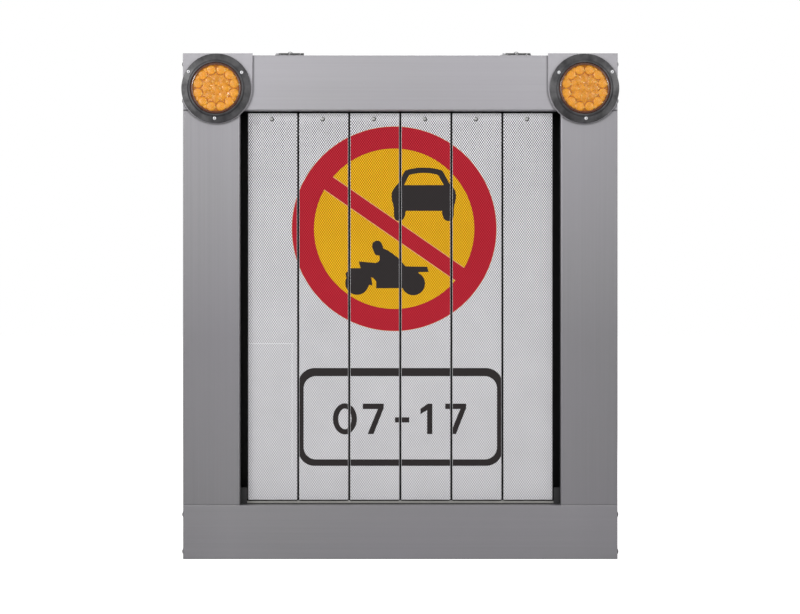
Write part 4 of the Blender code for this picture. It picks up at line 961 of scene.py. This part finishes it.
def lay_optics(work):
    """Board, inner plate, twelve outer optics, eight inner ones and a middle one, each optic with
    a painted glint beside it.
    """
    board, plate, bright, deep, dot, pale = range(6)
    outer_circle, filler_circle, inner_circle = 0.0366, 0.0402, 0.0190
    board_rim = millimetres([(0, 2.8), (46.5, 2.8), (46.5, 4.2), (0, 4.2)])
    turned(work, board_rim, 96, material_index=board)
    face_out = millimetres([(45.2, 4.3), (45.2, 5), (44.6, 5.3), (27, 5.5), (0, 5.5)])
    turned(work, face_out, 96, material_index=deep)
    inner_plate = millimetres([(33, 5.6), (32.5, 5.8), (0, 5.8)])
    turned(work, inner_plate, 96, material_index=plate)
    dome = millimetres([
        (9.1, 4.3), (9.1, 6), (8.8, 6.8), (8, 7.5), (6.7, 8), (4.8, 8.3), (2.4, 8.5), (0, 8.5),
    ])
    # Dark collar set towards the middle, so a dark crescent shows on each outer optic's inner
    # side: painted shade
    shade_crescent = millimetres([(9.1, 5.3), (9, 6.5), (0, 6.6)])
    filler = millimetres([(5, 5.3), (4.7, 6.2), (3, 6.8), (0, 7)])
    # A small pale bead at the right of each optic: a painted glint
    glint_bead = millimetres([(2.8, 6.6), (2.7, 8.6), (1.2, 9.3), (0, 9.3)])
    for step in range(12):
        angle = 2 * pi * (step + 0.5) / 12
        x, y = outer_circle * cos(angle), outer_circle * sin(angle)
        turned(work, dome, 28, facing_up(x, y, 0), bright)
        turned(work, shade_crescent, 28, facing_up(x * 0.945, y * 0.945, 0), deep)
        turned(work, glint_bead, 3, facing_up(x + 0.0083, y - 0.0020, 0), pale)
        if step % 3:
            side = angle - pi / 12
            at_rim = (filler_circle * cos(side), filler_circle * sin(side), 0)
            turned(work, filler, 16, facing_up(*at_rim), bright)
    low = millimetres([(8.4, 5.5), (8.3, 6.3), (7.6, 7), (5, 7.6), (0, 7.9)])
    ring = [(inner_circle * cos(angle), inner_circle * sin(angle)) for angle in round_steps(8)]
    for x, y in [(0, 0)] + ring:
        turned(work, low, 24, facing_up(x, y, 0), plate)
        turned(work, glint_bead, 3, facing_up(x + 0.0080, y - 0.0010, -0.0008), pale)
    mark = millimetres([(1, 7.8), (0.8, 8.4), (0, 8.4)])
    turned(work, mark, 12, facing_up(0, 0.005, 0), dot)


def lay_facets(work):
    """The cut face inside the ring of optics: a fan of small flat facets, none quite alike."""
    rings = [0.0285, 0.0245, 0.0195, 0.0145, 0.0095, 0.0045, 0]
    turned(work, [(radius, 0.0062) for radius in rings], 20)
    for vert in work.verts:
        reach = vert.co.xy.length
        twist = sin(reach * 2600) * 0.12
        vert.co.xy = Matrix.Rotation(twist, 2) @ vert.co.xy
        wave = sin(vert.co.x * 1570 + 1.1) * cos(vert.co.y * 1310 - 0.4)
        vert.co.z += 0.0014 * wave + 0.0004 * cos(reach * 620)


def build_side_screws():
    """The button heads that close the folded corners, on both sides of the frame."""
    for side, hand in both_sides:
        heads = [
            facing_side(hand * cabinet_half, frame_front + side_screw_depth, z, hand)
            for z in side_screw_heights
        ]
        screws(f"{side}_side_screws", "front_frame", heads, side_head, metal=dull_steel)


def build_joint_highlight_strips():
    """A thin light grey strip in the joint between each post and the bottom beam: a painted
    highlight for the beam's lit top edge, laid over the joint's shade.
    """
    beam_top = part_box("bottom_beam")[1].z
    for side in ("left", "right"):
        low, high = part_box(f"{side}_post")
        start = (low.x + 0.0008, frame_front + 0.0002, beam_top - 0.0005)
        work = bmesh.new()
        block(work, start, (high.x - 0.0008, frame_front + 0.0020, low.z + 0.0003), 0.0002)
        finish_piece(f"{side}_joint_highlight_strip", work, joint_highlight_grey, "front_frame", 30)


def build_hinge_fixings():
    """The screws on the hinges' leaves, and the loose end of the right hinge's wire."""
    for side in ("left", "right"):
        low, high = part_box(f"{side}_hinge_frame_leaf")
        middle = (low.x + high.x) / 2
        leaf_top = low.z + 0.0015
        for leaf, body, y in hinge_screw_rows:
            heads = [facing_up(middle + x, y, leaf_top) for x in hinge_screw_steps]
            screws(f"{side}_hinge_{leaf}_screws", body, heads, hinge_head, "cross", zinc)
    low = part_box("right_hinge_body_leaf")[0]
    start = Vector((low.x + 0.004, -0.0440, low.z + 0.0022))
    bends = ((0, 0, 0), (-4, -0.2, 2.4), (-9, -0.4, 1.2), (-15, -0.6, -1.8))
    points = [start + Vector(bend) / 1000 for bend in bends]
    wire("right_hinge_wire_end", points, 0.0006, dull_steel, "cabinet")


def wire(name, points, radius, material, body):
    """A round wire along a smooth path, as a mesh."""
    curve = bpy.data.curves.new(name, "CURVE")
    curve.dimensions = "3D"
    curve.bevel_depth = radius
    curve.bevel_resolution = 3
    curve.use_fill_caps = True
    spline = curve.splines.new("NURBS")
    spline.points.add(len(points) - 1)
    for point, co in zip(spline.points, points):
        point.co = (*co, 1)
    spline.use_endpoint_u = True
    spline.order_u = 3
    spline.resolution_u = 8
    guide = bpy.data.objects.new(name, curve)
    scene.collection.objects.link(guide)
    bpy.context.view_layer.update()
    work = bmesh.new()
    evaluated = guide.evaluated_get(bpy.context.evaluated_depsgraph_get())
    work.from_mesh(bpy.data.meshes.new_from_object(evaluated))
    bpy.data.objects.remove(guide)
    finish_piece(name, work, material, body, smooth_angle=50)


def build_back_fixings():
    """Rivets inside the two mounting rails."""
    for rail in ("lower", "upper"):
        low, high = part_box(f"{rail}_mounting_rail")
        middle = (low.z + high.z) / 2
        heads = [facing_back(x, low.y + 0.0030, middle) for x in rivet_steps]
        screws(f"{rail}_rail_rivets", "cabinet", heads, rivet_head, "none", zinc)


def ring_profile(inner, outer, shoulder, chamfer, height):
    """The section of a flat ring with a chamfer round its top."""
    top = [(outer - chamfer, height), (inner, height), (inner, 0)]
    return [(inner, 0), (outer, 0), (outer, shoulder)] + top


def build_gear_ribs():
    """Hub, spokes and rim on each prism's gear."""
    hub = ring_profile(0.0090, 0.0125, 0.0009, 0.0005, 0.0013)
    rim = ring_profile(0.0236, 0.0256, 0.0009, 0.0005, 0.0012)
    for number in prism_numbers:
        work = bmesh.new()
        place = facing_up(prism_x[number], prism_axis_y, gear_top + 0.0002)
        turned(work, hub, 48, place)
        turned(work, rim, 72, place)
        for spoke in range(6):
            before = set(work.verts)
            block(work, (0.0124, -0.0008, 0), (0.0237, 0.0008, 0.0009), 0.0002)
            turn = place @ Matrix.Rotation(2 * pi * spoke / 6, 4, "Z")
            bmesh.ops.transform(work, matrix=turn, verts=added_since(work, before))
        name, body = f"prism_{number}_gear_ribs", f"prism_{number}"
        finish_piece(name, work, acetal, body, 35, False)


def build_idler_clips():
    """The clips that hold the idlers on their spigots."""
    ring = millimetres([(7.2, 0), (10.5, 0), (10.5, 0.8), (7.2, 0.8), (7.2, 0)])
    clips = bmesh.new()
    for number in range(1, 6):
        x, y = joints[f"idler_{number}"]["pos_m"][:2]
        turned(clips, ring, 40, facing_up(x, y, gear_top + 0.0006))
    finish_piece("idler_clips", clips, dark_steel, "cabinet", 35)


def build_motor_leads():
    """The motor's two tabs and its leads, which go down through the upper deck."""
    low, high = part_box("drive_motor")
    middle = (low.y + high.y) / 2
    tab_y, tab_top, tab_low = 0.009, high.z - 0.0180, high.z - 0.0185
    work = bmesh.new()
    for y in (middle - tab_y, middle + tab_y):
        start = (high.x - 0.0002, y - 0.0016, tab_low)
        block(work, start, (high.x + 0.0048, y + 0.0016, tab_top))
    finish_piece("motor_tabs", work, copper, "cabinet", tidy=False)
    lead_radius, half_gap, bore = 0.0010, 0.0014, 0.0036
    hole = Vector((high.x + 0.080, middle + 0.012, deck_top))
    for name, hand, finish in (("red", -1, red_wire), ("black", 1, black_wire)):
        start = Vector((high.x + 0.0040, middle + hand * tab_y, high.z - 0.0182))
        y = hole.y + hand * half_gap
        path = [
            start,
            start + Vector((0.006, 0, 0.000)),
            start + Vector((0.018, (y - start.y) / 3, -0.010)),
            Vector((hole.x - 0.040, y, deck_top + 0.006)),
            Vector((hole.x - 0.018, y, deck_top + 0.0013)),
            Vector((hole.x - 0.007, y, deck_top + 0.0036)),
            Vector((hole.x, y, deck_top + 0.0036)),
            Vector((hole.x, y, deck_top + 0.0003)),
        ]
        wire(f"motor_{name}_lead", path, lead_radius, finish, "cabinet")
    grommet("upper_deck_grommet", facing_up(*hole), bore)


def build_drive_details():
    """Ribs, clips, leads and screws of the gear train, the drive and the control unit."""
    build_gear_ribs()
    build_idler_clips()
    heads = near_corners("drive_gearbox", 0.006, 0.006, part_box("drive_gearbox")[1].z)
    screws("gearbox_screws", "cabinet", heads, gearbox_head, "cross")
    build_motor_leads()
    foot_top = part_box("drive_bracket")[0].z + 0.0030
    heads = near_corners("drive_bracket", 0.006, 0.007, foot_top)
    screws("bracket_screws", "cabinet", heads, bracket_head)
    heads = near_corners("control_unit", 0.008, 0.008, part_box("control_unit")[1].z)
    screws("control_lid_screws", "cabinet", heads, lid_head, "cross")
    strip_y, strip_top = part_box("lower_bearing_strip")[0].y + 0.006, 0.1105
    heads = [facing_up(x, strip_y, strip_top) for x in strip_screw_steps]
    screws("lower_strip_screws", "cabinet", heads, lid_head, "cross", zinc)


def grommet(name, place, bore):
    """A rubber grommet where wires pass through a deck."""
    work = bmesh.new()
    turned(work, ring_profile(bore, bore + 0.0030, 0.0012, 0.0010, 0.0022), 40, place)
    finish_piece(name, work, rubber, "cabinet", smooth_angle=40)


def build_loom():
    """The loom from the control unit along the floor and up to the lower deck."""
    low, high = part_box("control_unit")
    deck_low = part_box("lower_bearing_strip")[0].z - deck_thickness - 0.0004
    back = (low.y + high.y) / 2 + 0.020
    loom_radius, bore = 0.0030, 0.0032
    floor = low.z + loom_radius + 0.0004
    outlet_z = floor + 0.018
    side = cabinet_half - 0.030
    route = [
        (high.x - 0.0005, outlet_z), (high.x + 0.016, outlet_z), (high.x + 0.040, floor + 0.004),
        (high.x + 0.080, floor), (side - 0.060, floor), (side - 0.006, floor),
        (side, floor + 0.010), (side, floor + 0.040), (side, deck_low),
    ]
    points = [Vector((x, back, z)) for x, z in route]
    wire("control_loom", points, loom_radius, black_wire, "cabinet")
    under_deck = Matrix.Translation((side, back, deck_low)) @ Matrix.Rotation(pi, 4, "X")
    grommet("lower_deck_grommet", under_deck, bore)
    outlet = Matrix.Translation((high.x, back, outlet_z)) @ Matrix.Rotation(pi / 2, 4, "Y")
    grommet("control_outlet_grommet", outlet, bore)


def dress_cad_nodes():
    """Give every carried-over node its finish."""
    finishes = {
        "left_post": upright_shaded_paint,
        "right_post": upright_shaded_paint,
        "top_beam": level_paint,
        "bottom_beam": level_paint,
        "cabinet_body": cabinet_coat,
        "frame_seal": rubber,
        "bearing_deck": block_coat,
        "bearing_strip": strip_acetal,
        "_profile": drawn_upright,
        "_cap": nylon,
        "gear_": acetal,
        "_gear": acetal,
        "motor_pinion": dark_steel,
        "drive_bracket": zinc,
        "drive_gearbox": motor_coat,
        "drive_motor": motor_coat,
        "mounting_rail": drawn_level,
        "control_unit": box_plastic,
        "cable_gland": nylon,
        "left_hinge": hinge_steel("left"),
        "right_hinge": hinge_steel("right"),
        "_lamp_": lamp_plastic,
    }
    for name, node in frame["nodes"].items():
        material = [finish for key, finish in finishes.items() if key in name][0]
        for slot in node.material_slots:
            slot.material = material


def build_studio():
    """Pale floor, soft lights and the camera."""
    floor_values = {"Specular_IOR_Level": 0.0, "Emission_Color": (1, 1, 1, 1)}
    material, shader = surface("pale_floor", (0.86, 0.86, 0.86), 0.9, **floor_values)
    rays = add_node(material, "ShaderNodeLightPath")
    glow = calculate(material, "MULTIPLY", rays.outputs["Is Camera Ray"], 0.8)
    feed(material, shader, "Emission Strength", glow)
    work = bmesh.new()
    bmesh.ops.create_grid(work, x_segments=1, y_segments=1, size=30)
    bmesh.ops.translate(work, verts=work.verts, vec=(0, 0, -0.0002))
    mesh = bpy.data.meshes.new("studio_floor")
    work.to_mesh(mesh)
    work.free()
    mesh.materials.append(material)
    floor = bpy.data.objects.new("studio_floor", mesh)
    scene.collection.objects.link(floor)

    world = bpy.data.worlds.new("studio")
    world.use_nodes = True
    scene.world = world
    background = world.node_tree.nodes["Background"]
    background.inputs["Color"].default_value = (1, 1, 1, 1)
    rays = add_node(world, "ShaderNodeLightPath")
    seen = calculate(world, "ADD", rays.outputs["Is Camera Ray"], rays.outputs["Is Glossy Ray"])
    seen = calculate(world, "ADD", seen, rays.outputs["Is Transmission Ray"])
    strength = calculate(world, "MAXIMUM", calculate(world, "MINIMUM", seen, 1.0), 0.33)
    world.node_tree.links.new(strength, background.inputs["Strength"])

    light_target = Vector((0, 0, 0.55))
    for name, place, size, power in (
        ("key_softbox", (-2.0, -3.2, 1.2), 2.6, 42),
        ("upper_softbox", (-2.4, -2.7, 1.9), 0.7, 26),
        ("fill_softbox", (2.0, -3.2, 1.3), 2.6, 30),
        ("side_softbox", (2.0, -2.9, 1.65), 0.4, 6),
        ("back_softbox", (0.6, 2.4, 2.2), 1.8, 34),
    ):
        lamp = bpy.data.lights.new(name, "AREA")
        lamp.shape = "SQUARE"
        lamp.size = size
        lamp.energy = power
        holder = bpy.data.objects.new(name, lamp)
        holder.location = place
        aim = light_target - Vector(place)
        holder.rotation_euler = aim.to_track_quat("-Z", "Y").to_euler()
        scene.collection.objects.link(holder)

    view_distance, view_height = 4.0, 0.4906
    lens = bpy.data.cameras.new("front_view")
    lens.lens = 92.6
    lens.sensor_width = 36
    camera = bpy.data.objects.new("front_view", lens)
    camera.location = (-0.0006, frame_front - view_distance, view_height)
    camera.rotation_euler = (pi / 2, 0, 0)
    scene.collection.objects.link(camera)
    scene.camera = camera
    scene.view_settings.view_transform = "Standard"


build_films()
build_prism_screws()
build_corner_plates()
build_lamps()
build_side_screws()
build_joint_highlight_strips()
build_hinge_fixings()
build_back_fixings()
build_drive_details()
build_loom()
dress_cad_nodes()
build_studio()
